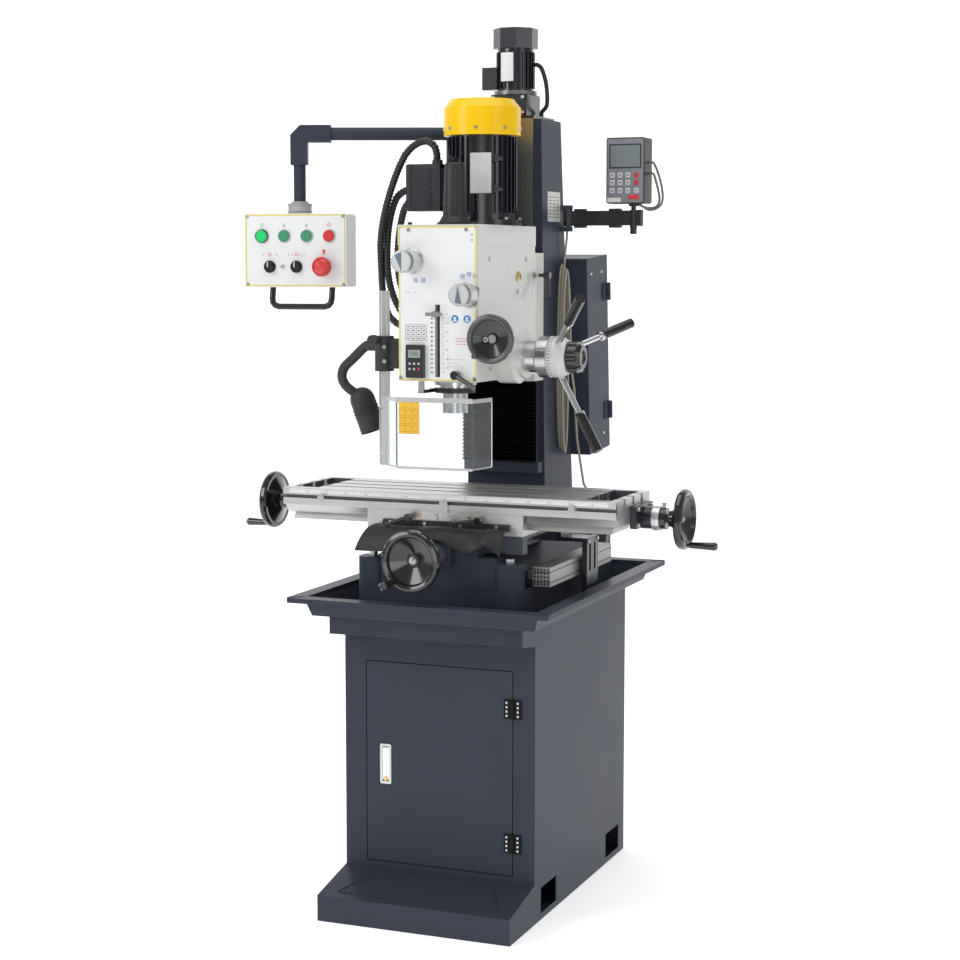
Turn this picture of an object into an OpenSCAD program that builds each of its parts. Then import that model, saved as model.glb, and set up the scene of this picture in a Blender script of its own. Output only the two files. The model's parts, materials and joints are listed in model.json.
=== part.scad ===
// Bench-size geared-head milling machine on a sheet-metal stand.
// Millimetres. Origin on the floor under the middle of the cabinet,
// +X to the operator's right, +Y to the back, +Z up.

/* [Stand] */
// Width of the sheet-metal cabinet
stand_w = 470; // [440:1:500]
// Depth of the cabinet body
stand_d = 650; // [640:1:680]
// Height of the cabinet
stand_h = 693; // [680:1:720]
// Thickness of the cabinet sheet
sheet = 3; // [2:0.5:4]
// Reach of the toe in front of the cabinet face
toe_reach = 155; // [130:1:170]
// Height of the toe's front edge
toe_h = 60; // [50:1:70]
// Height at which the toe meets the cabinet face
toe_top = 92; // [80:1:98]
// Reach of the ledge under the tray
ledge_reach = 81; // [60:1:100]
// Height of the ledge's front face
ledge_h = 42; // [35:1:50]
// Width of the cabinet door
door_w = 361; // [330:1:370]
// Height of the cabinet door
door_h = 470; // [440:1:500]
// Height of the door's lower edge above the floor
door_z = 108; // [104:1:120]
// Folded depth of the door
door_t = 18; // [12:1:24]
// Gap between the door and its opening
door_gap = 2; // [1:0.5:3]
// Width of a fork pocket
pocket_w = 104; // [80:1:120]
// Height of a fork pocket
pocket_h = 60; // [50:1:70]
// Distance from the middle of the cabinet to each fork pocket
pocket_y = 232; // [200:1:245]
// Radius of the floor-bolt holes
anchor_r = 7; // [5:0.5:9]
// Distance of the floor-bolt holes from the cabinet sides
anchor_inset = 40; // [30:1:60]
// Height of a door hinge
hinge_h = 44; // [36:1:60]
// Radius of a door hinge's knuckle
knuckle_r = 3.7; // [3.5:0.1:3.7]
// Radius of a door hinge's pin
hinge_pin_r = 2.5; // [2:0.25:3]
// Height of the door latch plate
latch_h = 94; // [80:1:110]
// Width of the door latch plate
latch_w = 28; // [24:1:34]

/* [Drip tray] */
// Width of the tray over its rim
tray_w = 631; // [600:1:660]
// Distance from the middle of the cabinet to the tray's front rim
tray_front = 468; // [450:1:490]
// Distance from the middle of the cabinet to the tray's back rim
tray_back = 410; // [395:1:430]
// Height of the tray
tray_h = 45; // [35:1:55]
// Width of the flat rim
rim_w = 34; // [26:1:40]
// Thickness of the flat rim
rim_t = 11; // [8:1:14]

/* [Machine base] */
// Width of the base casting
base_w = 396; // [370:1:420]
// Distance from the middle of the cabinet to the front of the base
base_front = 339; // [330:1:350]
// Distance from the middle of the cabinet to the back of the base
base_back = 330; // [322:1:345]
// Height of the base's skirt
skirt_h = 64; // [50:1:75]
// Height of the corner feet
foot_h = 126; // [110:1:130]
// Height of the deck between the ways and the flanks
deck_h = 138; // [134:1:144]
// Height of the dovetail ways above the tray floor
way_h = 184; // [180:1:190]
// Width of the dovetail ways at the top
way_w = 230; // [200:1:250]
// Radius of a hold-down bolt
bolt_r = 6; // [5:0.5:8]

/* [Saddle and table] */
// Width of the saddle
saddle_w = 383; // [360:1:400]
// Distance from the middle of the cabinet to the saddle's front
saddle_front = 291; // [285:1:300]
// Depth of the saddle
saddle_d = 276; // [268:1:280]
// Height of the saddle
saddle_h = 48; // [46:1:54]
// Length of the table
table_l = 820; // [760:1:900]
// Width of the table
table_w = 250; // [246:1:256]
// Thickness of the table's edge
table_t = 40; // [36:1:44]
// Width of a T-slot
slot_w = 14; // [12:1:16]
// Distance between T-slots
slot_pitch = 63; // [56:1:66]
// Length of the trough at each end of the table
trough_l = 62; // [50:1:75]
// Distance from the middle of the cabinet to the table screw
screw_y = 126; // [120:1:130]
// Radius of the table and cross screws
screw_r = 10; // [8:0.5:11]
// Height of the cross screw under the top of the ways
cross_drop = 40; // [36:1:42]

/* [Handwheels] */
// Radius of a handwheel
wheel_r = 69; // [55:1:72]
// Distance from the middle of the table to the face of each table handwheel
wheel_x = 527; // [510:1:540]
// Distance from the middle of the cabinet to the face of the front handwheel
wheel_y = 486; // [480:1:510]
// Length of a crank grip
grip_l = 74; // [50:1:75]
// Radius of a crank grip
grip_r = 9.5; // [7:0.5:11]
// Radius of the dial rings
dial_r = 29; // [26:1:31]

/* [Column] */
// Width of the column at the top
col_top_w = 178; // [170:1:190]
// Width of the column at the foot
col_foot_w = 205; // [198:1:215]
// Distance from the middle of the cabinet to the column's front
col_front = 98; // [92:1:104]
// Depth of the column at the top
col_top_d = 137; // [130:1:150]
// Depth of the column at the foot
col_foot_d = 207; // [200:1:215]
// Height of the column
col_h = 999; // [960:1:1040]
// Wall of the column
col_wall = 14; // [10:1:18]
// Reach of the column's dovetail way
dove_d = 26; // [22:1:30]
// Width of the column's dovetail way at its face
dove_w = 156; // [140:1:164]
// Radius of the lifting screw
lift_r = 13; // [10:0.5:15]

/* [Lifting drive] */
// Radius of the lifting motor
lift_motor_r = 46; // [44:1:56]
// Height of the lifting gearbox
lift_gear_h = 62; // [50:1:75]
// Height of the lifting motor with its octagonal cap
lift_motor_h = 149; // [140:1:170]

/* [Head] */
// Width of the head
head_w = 192; // [180:1:200]
// Distance from the middle of the cabinet to the head's front
head_front = 323; // [315:1:330]
// Distance from the middle of the cabinet to the head's back
head_back = 38.6; // [36:0.1:42]
// Rise of the head's underside above the stand's top
head_rise = 530; // [514:1:544]
// Height of the head casting
head_h = 300; // [290:1:310]
// Height of the head's top cover
cover_h = 50; // [40:1:60]
// Wall of the head casting
head_wall = 14; // [10:1:18]
// Distance from the middle of the cabinet to the spindle axis
spindle_y = 223; // [218:1:228]
// Radius of the quill
quill_r = 37.5; // [34:0.5:40]
// Radius of the spindle in the quill
spindle_r = 20; // [18:0.5:22]
// Radius of the spindle's parallel bore
tool_bore_r = 12.07; // [11:0.01:13]
// Depth of the spindle's taper and parallel bore
tool_bore_l = 70; // [60:1:100]
// Travel of the quill
quill_travel = 130; // [110:1:135]
// Width of the depth slot
depth_slot_w = 12; // [10:1:14]
// Radius of a speed knob
knob_r = 26; // [22:1:29]
// Length of a speed knob
knob_l = 58; // [50:1:64]

/* [Spindle motor] */
// Distance from the middle of the cabinet to the motor axis
motor_y = 58; // [52:1:62]
// Radius of the finned motor body
motor_r = 84; // [78:1:88]
// Height of the motor body
motor_h = 208; // [190:1:220]
// Radius of the fan cover
fan_r = 90; // [86:1:96]
// Height of the fan cover
fan_h = 84; // [80:1:100]
// Height of the drawbar cap
cap_h = 140; // [120:1:160]
// Radius of the drawbar cap
cap_r = 28.5; // [26:0.5:31]

/* [Feed] */
// Height of the feed shaft above the head's underside
feed_z = 53; // [50:1:56]
// Distance from the spindle axis back to the feed shaft
feed_back = 49; // [47.5:0.5:52]
// Radius of the swing of the feed levers
lever_r = 211; // [190:1:220]
// Outward reach of the feed levers along the shaft
lever_out = 105; // [90:1:110]
// Radius of the fine-feed handwheel
fine_r = 55; // [48:1:58]

/* [Guard and lamp] */
// Height of the clear guard
guard_h = 158; // [140:1:165]
// Width of the guard's front panel
guard_w = 185; // [170:1:190]
// Thickness of the guard panels
guard_t = 5; // [4:0.5:6]
// Side of the guard's post
post_w = 20; // [18:1:24]

/* [Control panel] */
// Length of the panel arm
arm_l = 421.2; // [390:0.1:440]
// Radius of the arm's pipe
arm_r = 16; // [14:0.5:18]
// Angle of the panel arm forward of straight left
arm_angle = 22; // [15:1:30]
// Width of the control panel
panel_w = 263; // [240:1:270]
// Height of the control panel
panel_h = 180; // [170:1:190]
// Depth of the control panel
panel_d = 80; // [70:1:90]
// Angle of the control panel to the machine's front
panel_turn = 8; // [0:1:15]
// Diameter of the mushroom stop button
stop_d = 40; // [36:1:44]

/* [Position display] */
// Length of the display's arm
dro_l = 189; // [180:1:210]
// Width of the position display
dro_w = 96; // [85:1:105]
// Height of the position display
dro_h = 158; // [140:1:160]
// Depth of the position display
dro_d = 62; // [40:1:70]

/* [Electrical box] */
// Width of the electrical box
ebox_w = 300; // [280:1:320]
// Height of the electrical box
ebox_h = 490; // [460:1:520]
// Depth of the electrical box
ebox_d = 145; // [130:1:160]
// Depth of the electrical box's door
ebox_door_t = 16; // [12:1:20]

/* [Hidden] */
$fn = 64;

// Running clearance between pieces that move past each other
clr = 0.3;
// Radial clearance of pins, shafts and bores
fit = 0.08;

charcoal = "#454a58";
casting = "#c9cac4";
machined = "#d9d7cf";
black = "#202124";
steel = "#a9abad";
navy = "#1f2532";
amber = "#f5b21a";

// Stand
face_y = -stand_d / 2;
floor_z = toe_top + 8;
toe_y = face_y - toe_reach;
ledge_y = face_y - ledge_reach;
ledge_cut = 11;
leaf_t = 3;
hinge_x = door_w / 2 + door_gap / 2 + 0.5;
hinge_y = face_y - leaf_t - 1;
leaf_w = 21;
latch_x = -door_w / 2 + 48;
latch_z = door_z + door_h / 2 - 4;

// Stack of castings above the tray floor
base_z = stand_h + sheet;
head_z = base_z + head_rise;
skirt_z = base_z + skirt_h;
deck_z = base_z + deck_h;
way_z = base_z + way_h;
way_depth = 28;
way_slope = 17;
foot_w = 60;
saddle_z = way_z + clr;
edge_z = way_z + saddle_h;
table_z = edge_z + table_t;
table_front = saddle_front - 1;
table_mid = -table_front + table_w / 2;
saddle_back = -saddle_front + saddle_d;
body_drop = 19;
dove_drop = 16;
cross_z = way_z - cross_drop;
table_screw_z = edge_z - 12;
body_z = edge_z - body_drop;
strip_z = edge_z - 28;

// Column
col_z = deck_z;
col_top = col_z + col_h;
back_lean = atan((col_foot_d - col_top_d) / col_h);
lift_y = col_front + 18;
carriage_z = head_z - 17;
carriage_h = 305;

// Head
tilt_z = head_z + 164;
casting_top = head_z + head_h;
head_top = casting_top + cover_h;
plate_t = 3;
plate_y = -head_front - plate_t;
feed_y = -spindle_y + feed_back;
shaft_z = head_z + feed_z;
feed_r = feed_back - quill_r - 2 * clr;
quill_nose = head_z - 30;
spindle_nose = quill_nose - 46;
boss_x = head_w / 2 + 62;

// Guard
post_x = -head_w / 2 - 65;
post_y = -260;
guard_y = -head_front - 22;
guard_z = head_z - 37 - guard_h;

// Panel arm
arm_z = col_top - 27;
arm_pivot = [-125, col_front + 76];
elbow = arm_pivot + arm_l * [-cos(arm_angle), -sin(arm_angle)];
panel_top = arm_z - 195;

// Position display
dro_z = col_top - 234;
dro_pivot = [107, col_front + 142];

// A block between two corners
module block(lo, hi) {
  translate(lo) cube(hi - lo);
}

// A cylinder along X, Y or Z between two places on its axis
module rod_x(x0, x1, y, z, r) {
  translate([x0, y, z]) rotate([0, 90, 0]) cylinder(h = x1 - x0, r = r);
}

module rod_y(y0, y1, x, z, r) {
  translate([x, y1, z]) rotate([90, 0, 0]) cylinder(h = y1 - y0, r = r);
}

module rod_z(z0, z1, x, y, r) {
  translate([x, y, z0]) cylinder(h = z1 - z0, r = r);
}

// An outline in Y and Z, carried along X
module along_x(x0, x1) {
  translate([x0, 0, 0]) rotate([90, 0, 90]) linear_extrude(x1 - x0) children();
}

// An outline in X and Z, carried along Y
module along_y(y0, y1) {
  translate([0, y1, 0]) rotate([90, 0, 0]) linear_extrude(y1 - y0) children();
}

// A profile of radius and length, turned about +X, or about -Y
module turned_x(x, y, z) {
  translate([x, y, z]) rotate([0, 90, 0]) rotate_extrude() children();
}

module turned_front(x, y, z) {
  translate([x, y, z]) rotate([90, 0, 0]) rotate_extrude() children();
}

// A rectangle with round corners about its middle
module round_rect(w, h, r) {
  square([w - 2 * r, h], center = true);
  square([w, h - 2 * r], center = true);
  for (x = [-1, 1], y = [-1, 1]) translate([x * (w / 2 - r), y * (h / 2 - r)]) circle(r);
}

// Cylinder between any two points
module strut(a, b, r) {
  d = b - a;
  turn = atan2(d[1], d[0]);
  lean = acos(d[2] / norm(d));
  translate(a) rotate([0, lean, turn]) cylinder(h = norm(d), r = r);
}

// Both sides of the middle plane
module both_sides() {
  children();
  mirror([1, 0, 0]) children();
}

// Sheet-metal cabinet

module stand_side(inset) {
  polygon([[-face_y - inset, inset], [-face_y - inset, stand_h - inset],
    [ledge_y + inset, stand_h - inset], [ledge_y + inset, stand_h - ledge_h + inset],
    [face_y + inset, stand_h - ledge_h - ledge_cut + inset], [face_y + inset, toe_top - inset],
    [toe_y + inset, toe_h - inset], [toe_y + inset, inset]]);
}

module cabinet_shell() color(charcoal) {
  in_w = stand_w / 2 - sheet;
  difference() {
    along_x(-stand_w / 2, stand_w / 2) stand_side(0);
    difference() {
      along_x(-in_w, in_w) stand_side(sheet);
      block([-in_w, face_y, floor_z - sheet], [in_w, -face_y, floor_z]);
    }
    block([-door_w / 2 - door_gap, face_y - 1, door_z - door_gap],
      [door_w / 2 + door_gap, face_y + sheet + 1, door_z + door_h + door_gap]);
    for (y = [-pocket_y, pocket_y])
      block([-stand_w, y - pocket_w / 2, 15], [stand_w, y + pocket_w / 2, 15 + pocket_h]);
    for (x = [-1, 1], y = [-1, 1])
      translate([x * (stand_w / 2 - anchor_inset), y * (-face_y - anchor_inset), -1])
        cylinder(h = sheet + 2, r = anchor_r);
  }
  for (z = hinge_places) hinge_fixed(z);
}

hinge_places = [door_z + 75, door_z + door_h - 85];

// Fixed leaf with its two outer knuckles and the pin
module hinge_fixed(z) {
  block([hinge_x + knuckle_r + 1, hinge_y + 1, z - hinge_h / 2], [hinge_x + leaf_w, face_y, z + hinge_h / 2]);
  for (s = [0, 1]) {
    lo = z - hinge_h / 2 + s * hinge_h * 2 / 3;
    rod_z(lo, lo + hinge_h / 3, hinge_x, hinge_y, knuckle_r);
    block([hinge_x, hinge_y + 1, lo], [hinge_x + knuckle_r + 2, face_y - clr, lo + hinge_h / 3]);
  }
  rod_z(z - hinge_h / 2, z + hinge_h / 2, hinge_x, hinge_y, hinge_pin_r);
}

module hinge_moving(z) {
  lo = z - hinge_h / 6 + clr;
  hi = z + hinge_h / 6 - clr;
  block([hinge_x - leaf_w, hinge_y + 1, z - hinge_h / 2], [hinge_x - knuckle_r - 1, face_y, z + hinge_h / 2]);
  difference() {
    union() {
      rod_z(lo, hi, hinge_x, hinge_y, knuckle_r);
      block([hinge_x - knuckle_r - 2, hinge_y + 1, lo], [hinge_x, face_y - clr, hi]);
    }
    rod_z(lo - 1, hi + 1, hinge_x, hinge_y, hinge_pin_r + fit);
  }
}

module cabinet_door() color(charcoal) {
  difference() {
    block([-door_w / 2, face_y, door_z], [door_w / 2, face_y + door_t, door_z + door_h]);
    block([-door_w / 2 + sheet, face_y + sheet, door_z + sheet],
      [door_w / 2 - sheet, face_y + door_t + 1, door_z + door_h - sheet]);
    block([latch_x - latch_w / 2 + 4, face_y - 1, latch_z - latch_h / 2 + 4],
      [latch_x + latch_w / 2 - 4, face_y + sheet + 1, latch_z + latch_h / 2 - 4]);
  }
  for (z = hinge_places) hinge_moving(z);
  latch_frame();
}

// Flush latch: a flanged cup let into the door
module latch_frame() {
  cup = [latch_w / 2 - 4.2, 14, latch_h / 2 - 4.2];
  translate([latch_x, face_y, latch_z]) difference() {
    union() {
      along_y(-2, 0) round_rect(latch_w, latch_h, 4);
      block([-cup[0], -1, -cup[2]], [cup[0], cup[1], cup[2]]);
    }
    block([-cup[0] + 2, -3, -cup[2] + 2], [cup[0] - 2, cup[1] - 2, cup[2] - 2]);
    rod_x(-latch_w, latch_w, 3, cup[2] - 8, 2 + fit);
  }
}

module latch_paddle() color(steel) {
  half_w = latch_w / 2 - 6.2 - clr;
  top = latch_h / 2 - 4.2;
  translate([latch_x, face_y, latch_z]) {
    block([-half_w, -1, -top + 6], [half_w, 3, top - 8]);
    rod_x(-half_w - 2, half_w + 2, 3, top - 8, 2);
    rod_x(-half_w, half_w, 3, top - 8, 4);
  }
}

// Drip tray

module tray_hull(inset, drop) {
  hull() {
    block([-tray_w / 2 + 45 + inset, -tray_front + 45 + inset, stand_h + drop],
      [tray_w / 2 - 45 - inset, tray_back - 45 - inset, stand_h + drop + 1]);
    block([-tray_w / 2 + rim_w + inset, -tray_front + rim_w + inset, stand_h + tray_h - rim_t],
      [tray_w / 2 - rim_w - inset, tray_back - rim_w - inset, stand_h + tray_h + drop]);
  }
}

module drip_tray() color(charcoal) {
  mid_y = (tray_back - tray_front) / 2;
  depth = tray_back + tray_front;
  difference() {
    union() {
      translate([0, mid_y, stand_h + tray_h - rim_t]) linear_extrude(rim_t)
        round_rect(tray_w, depth, 10);
      tray_hull(0, 0);
    }
    tray_hull(sheet, sheet);
    translate([0, mid_y, stand_h + tray_h - rim_t - 1]) linear_extrude(rim_t - sheet + 1) difference() {
      round_rect(tray_w - 2 * sheet, depth - 2 * sheet, 8);
      square([tray_w - 2 * rim_w, depth - 2 * rim_w], center = true);
    }
  }
}

// Machine base

// Half of the dovetail way, wider at the top, grown by gap on every sliding face
function dovetail(half, slope, depth, z, gap) = [[-half - gap, z + gap],
  [-half + slope - gap, z - depth], [half - slope + gap, z - depth], [half + gap, z + gap]];

module base_outline() {
  b = base_w / 2 - 22;
  polygon([[-b, skirt_z - 1], [-b, skirt_z + 36], [-way_w / 2 - 23, deck_z], [way_w / 2 + 23, deck_z],
    [b, skirt_z + 36], [b, skirt_z - 1]]);
}

module corner_foot(y0, y1) {
  translate([base_w / 2 - foot_w / 2, (y0 + y1) / 2, base_z]) linear_extrude(foot_h)
    round_rect(foot_w, y1 - y0, 18);
}

module machine_base() color(charcoal) {
  mid_y = (base_back - base_front) / 2;
  channel = screw_r + 20;
  difference() {
    union() {
      translate([0, mid_y, base_z]) linear_extrude(skirt_h)
        round_rect(base_w, base_front + base_back, 20);
      along_y(-base_front + 9, base_back) base_outline();
      along_y(-base_front + 9, col_front) polygon(dovetail(way_w / 2, way_slope, way_depth, way_z, 0));
      block([-way_w / 2 + way_slope, -base_front + 9, deck_z - 1],
        [way_w / 2 - way_slope, col_front, way_z - way_depth + 1]);
      both_sides() {
        corner_foot(-base_front, -base_front + foot_w);
        corner_foot(base_back - foot_w, base_back);
      }
    }
    block([-channel, -base_front + 40, cross_z - channel], [channel, col_front - 20, way_z + 1]);
    rod_y(-base_front, -base_front + 50, 0, cross_z, screw_r + 3);
    block([-base_w / 2 + 24, -base_front + 30, base_z - 1], [base_w / 2 - 24, base_back - 30, skirt_z - 14]);
  }
  cross_bearing();
}

// Front bearing of the cross screw, bolted to the end of the ways
module cross_bearing() {
  front = -base_front + 9;
  difference() {
    union() {
      translate([0, 0, cross_z]) along_y(front - 12, front) round_rect(76, 60, 10);
      rod_y(front - 58, front - 11, 0, cross_z, dial_r - 3);
    }
    rod_y(front - 60, front + 1, 0, cross_z, screw_r + fit);
  }
}

// Hexagon-head bolt with a washer, its seat at the origin
module bolt(r) {
  cylinder(h = 2, r = 2.1 * r);
  translate([0, 0, 2]) cylinder(h = 1.3 * r, r = 1.7 * r, $fn = 6);
}

module hold_down_bolts() color(steel) {
  for (x = [-1, 1], y = [-base_front + foot_w / 2, base_back - foot_w / 2])
    translate([x * (base_w / 2 - foot_w / 2), y, base_z + foot_h]) bolt(bolt_r);
  for (x = [-1, 1], y = [col_front + 26, col_front + col_foot_d - 30])
    translate([x * (col_foot_w / 2 + 13), y, col_z + 28]) bolt(bolt_r);
}

// Encoder beside the base
scale_x = base_w / 2 + 8;
scale_w = 42;
scale_z = skirt_z + 6;
scale_y0 = -265;
scale_y1 = 170;

module encoder_scale() color("#8f8d86") {
  block([scale_x, scale_y0, scale_z], [scale_x + scale_w, scale_y1, scale_z + scale_w + 2]);
  for (y = [scale_y0 + 60, scale_y1 - 60])
    block([base_w / 2 - 22, y - 12, scale_z + 8], [scale_x, y + 12, scale_z + 28]);
}

// Column

module col_front_outline(inset) {
  polygon([[-col_foot_w / 2 + inset, col_z + inset], [col_foot_w / 2 - inset, col_z + inset],
    [col_top_w / 2 - inset, col_top - inset], [-col_top_w / 2 + inset, col_top - inset]]);
}

module col_side_outline(inset) {
  polygon([[col_front + inset, col_z + inset], [col_front + col_foot_d - inset, col_z + inset],
    [col_front + col_top_d - inset, col_top - inset], [col_front + inset, col_top - inset]]);
}

module col_solid(inset) {
  intersection() {
    along_y(col_front - 1, col_front + col_foot_d + 1) col_front_outline(inset);
    along_x(-col_foot_w, col_foot_w) col_side_outline(inset);
  }
}

// Dovetail way on the column's front, in plan, grown by gap on every sliding face
module col_dovetail(gap) {
  half = dove_w / 2;
  polygon([[-half - gap, col_front - dove_d - gap], [half + gap, col_front - dove_d - gap],
    [half - 15 + gap, col_front + gap], [-half + 15 - gap, col_front + gap]]);
}

way_foot_z = col_z + 178;

module column() color(charcoal) {
  channel = lift_r + 15;
  difference() {
    union() {
      col_solid(0);
      translate([0, 0, way_foot_z]) linear_extrude(col_top - way_foot_z) col_dovetail(0);
      block([-col_foot_w / 2 - 26, col_front, col_z],
        [col_foot_w / 2 + 26, col_front + col_foot_d, col_z + 28]);
      block([-col_foot_w / 2 + 6, col_front - dove_d - 8, way_foot_z - 26],
        [col_foot_w / 2 - 6, col_front + 1, way_foot_z]);
    }
    difference() {
      col_solid(col_wall);
      block([-channel - 12, col_front, col_z], [channel + 12, lift_y + channel + 12, col_top]);
    }
    block([-channel, col_front - dove_d - 9, way_foot_z + 30],
      [channel, lift_y + channel, col_top - 40]);
    rod_z(way_foot_z - 10, way_foot_z + 31, 0, lift_y, lift_r + fit);
    rod_z(col_top - 41, col_top + 1, 0, lift_y, lift_r + fit);
  }
  arm_bracket();
  dro_bracket();
}

// Fixed half of the panel arm's pivot, on the left of the column
module arm_bracket() {
  side = col_top_w / 2;
  block([-side - 10, arm_pivot[1] - 34, arm_z - 42], [-side + 2, arm_pivot[1] + 34, arm_z + 20]);
  difference() {
    union() {
      block([arm_pivot[0], arm_pivot[1] - 22, arm_z - 40], [-side, arm_pivot[1] + 22, arm_z - arm_r - 6]);
      rod_z(arm_z - 40, arm_z - arm_r - 6, arm_pivot[0], arm_pivot[1], 22);
    }
    rod_z(arm_z - 30, arm_z, arm_pivot[0], arm_pivot[1], 9);
  }
  rod_z(arm_z - 30, arm_z + 21, arm_pivot[0], arm_pivot[1], 9);
}

// Fixed half of the display arm's pivot, on the right of the column
module dro_bracket() {
  x = dro_pivot[0];
  y = dro_pivot[1];
  side = col_top_w / 2;
  for (z = [dro_z - 32, dro_z + 20 + clr]) block([side - 4, y - 12, z], [x, y + 12, z + 12 - clr]);
  for (z = [dro_z - 32, dro_z + 20 + clr]) rod_z(z, z + 12 - clr, x, y, 12);
  rod_z(dro_z - 32, dro_z + 32, x, y, 5);
}

// Lifting drive on top of the column
lift_gear_top = col_top + 8 + lift_gear_h;

module lift_drive() color(navy) {
  y = lift_axis_y;
  difference() {
    union() {
      block([-72, col_front - 6, col_top], [72, col_front + col_top_d, col_top + 8]);
      block([-46, y - 46, col_top + 7], [46, y + 46, lift_gear_top - 9]);
      rod_z(lift_gear_top - 10, lift_gear_top, 0, y, lift_motor_r + 6);
    }
    rod_z(col_top - 1, col_top + 40, 0, lift_y, lift_r + 2);
  }
  rod_z(lift_gear_top, lift_gear_top + lift_motor_h - 48, 0, y, lift_motor_r - 3);
  translate([0, y, lift_gear_top + lift_motor_h - 48]) rotate([0, 0, 22.5])
    cylinder(h = 48, r = lift_motor_r + 8, $fn = 8);
  block([-lift_motor_r - 32, y - 24, lift_gear_top + 4], [-lift_motor_r + 6, y + 24, lift_gear_top + 58]);
  for (k = [0:23]) rotate_about(0, y, k * 15)
    block([lift_motor_r - 5, y - 1.2, lift_gear_top + 6],
      [lift_motor_r + 1, y + 1.2, lift_gear_top + lift_motor_h - 56]);
}

lift_axis_y = col_front + 60;

module rotate_about(x, y, turn) {
  translate([x, y, 0]) rotate([0, 0, turn]) translate([-x, -y, 0]) children();
}

// Lifting screw, carried in the column's foot and top
module lift_screw() color(steel) {
  rod_z(way_foot_z - 9, col_top + 30, 0, lift_y, lift_r);
}

// Electrical box, on the leaning back of the column
ebox_z = col_z + 178;

module on_back() {
  translate([0, col_front + col_foot_d, col_z]) rotate([back_lean, 0, 0])
    translate([0, 0, ebox_z - col_z]) children();
}

module electric_box() color(charcoal) on_back() {
  difference() {
    block([-ebox_w / 2, 0, 0], [ebox_w / 2, ebox_d, ebox_h]);
    block([-ebox_w / 2 + sheet, sheet, sheet], [ebox_w / 2 - sheet, ebox_d + 1, ebox_h - sheet]);
  }
  for (z = ebox_hinges) {
    rod_z(z - 22, z - 8, ebox_w / 2 + 6, ebox_d + 2, 6);
    rod_z(z + 8, z + 22, ebox_w / 2 + 6, ebox_d + 2, 6);
    rod_z(z - 22, z + 22, ebox_w / 2 + 6, ebox_d + 2, 2.5);
    block([ebox_w / 2 - 1, ebox_d - 28, z - 22], [ebox_w / 2 + 3, ebox_d - 5, z + 22]);
    for (s = [-15, 15]) block([ebox_w / 2, ebox_d - 8, z + s - 7], [ebox_w / 2 + 6, ebox_d, z + s + 7]);
  }
}

ebox_hinges = [96, ebox_h - 92];

module electric_box_door() color(charcoal) on_back() {
  difference() {
    block([-ebox_w / 2, ebox_d + clr, 0], [ebox_w / 2 - 1, ebox_d + ebox_door_t, ebox_h]);
    block([-ebox_w / 2 + sheet, ebox_d, sheet],
      [ebox_w / 2 - 1 - sheet, ebox_d + ebox_door_t - sheet, ebox_h - sheet]);
  }
  for (z = ebox_hinges) difference() {
    union() {
      rod_z(z - 8 + clr, z + 8 - clr, ebox_w / 2 + 6, ebox_d + 2, 6);
      block([ebox_w / 2 - 2, ebox_d + 1, z - 8 + clr], [ebox_w / 2 + 6, ebox_d + 8, z + 8 - clr]);
    }
    rod_z(z - 9, z + 9, ebox_w / 2 + 6, ebox_d + 2, 2.5 + fit);
  }
  rod_y(ebox_d + ebox_door_t, ebox_d + ebox_door_t + 8, -ebox_w / 2 + 26, ebox_h / 2, 9);
}

// Folded cover over the column's way, from its foot up to the carriage
bellows_half = col_foot_w / 2 - 7;
bellows_folds = 22;

module way_bellows() color(black) {
  z0 = way_foot_z;
  pitch = (carriage_z - 1 - z0) / bellows_folds;
  y_in = col_front - dove_d - 2;
  y_out = y_in - 22;
  outer = [for (k = [0:bellows_folds - 1]) each [[y_out + 12, z0 + k * pitch],
    [y_out, z0 + (k + 0.5) * pitch]]];
  inner = [for (k = [bellows_folds - 1:-1:0]) each [[y_in, z0 + (k + 0.9) * pitch],
    [y_out + 8, z0 + (k + 0.45) * pitch], [y_in, z0 + k * pitch]]];
  along_x(-bellows_half, bellows_half)
    polygon(concat(outer,
      [[y_out + 12, z0 + bellows_folds * pitch], [y_in, z0 + bellows_folds * pitch]], inner));
}

// Head carriage

module head_carriage() color(machined) {
  half = head_w / 2;
  difference() {
    union() {
      block([-half, head_back + clr, carriage_z], [half, col_front - clr, carriage_z + carriage_h]);
      block([-20, col_front - dove_d - 2, tilt_z - 30], [20, lift_y + lift_r + 8, tilt_z + 30]);
    }
    difference() {
      translate([0, 0, carriage_z - 1]) linear_extrude(carriage_h + 2) col_dovetail(clr);
      block([-20, col_front - dove_d - 2, tilt_z - 30], [20, col_front + 40, tilt_z + 30]);
    }
    rod_z(tilt_z - 31, tilt_z + 31, 0, lift_y, lift_r + fit);
  }
  rod_y(head_back - 11, head_back + 1, 0, tilt_z, 60);
}

// Clamp lever: a hub on a stud, with an arm that leaves it at an angle
module clamp_lever(len, hub_r, stud) {
  translate([0, 0, -stud]) cylinder(h = stud, r = 4);
  cylinder(h = 16, r = hub_r);
  translate([0, 0, 9]) rotate([0, 78, 0]) cylinder(h = len, r1 = hub_r * 0.62, r2 = hub_r * 0.5);
}

module carriage_lever() color(black) {
  translate([head_w / 2 + 12, col_front - 30, carriage_z + 252]) rotate([0, 90, 0]) rotate([0, 0, -25])
    clamp_lever(62, 8, 11.7);
}

// Head casting: a hollow box with the quill's guide and the swivel seat

module head_outline(inset) {
  translate([0, (head_back - head_front) / 2])
    square([head_w - 2 * inset, head_front + head_back - 2 * inset], center = true);
}

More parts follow.
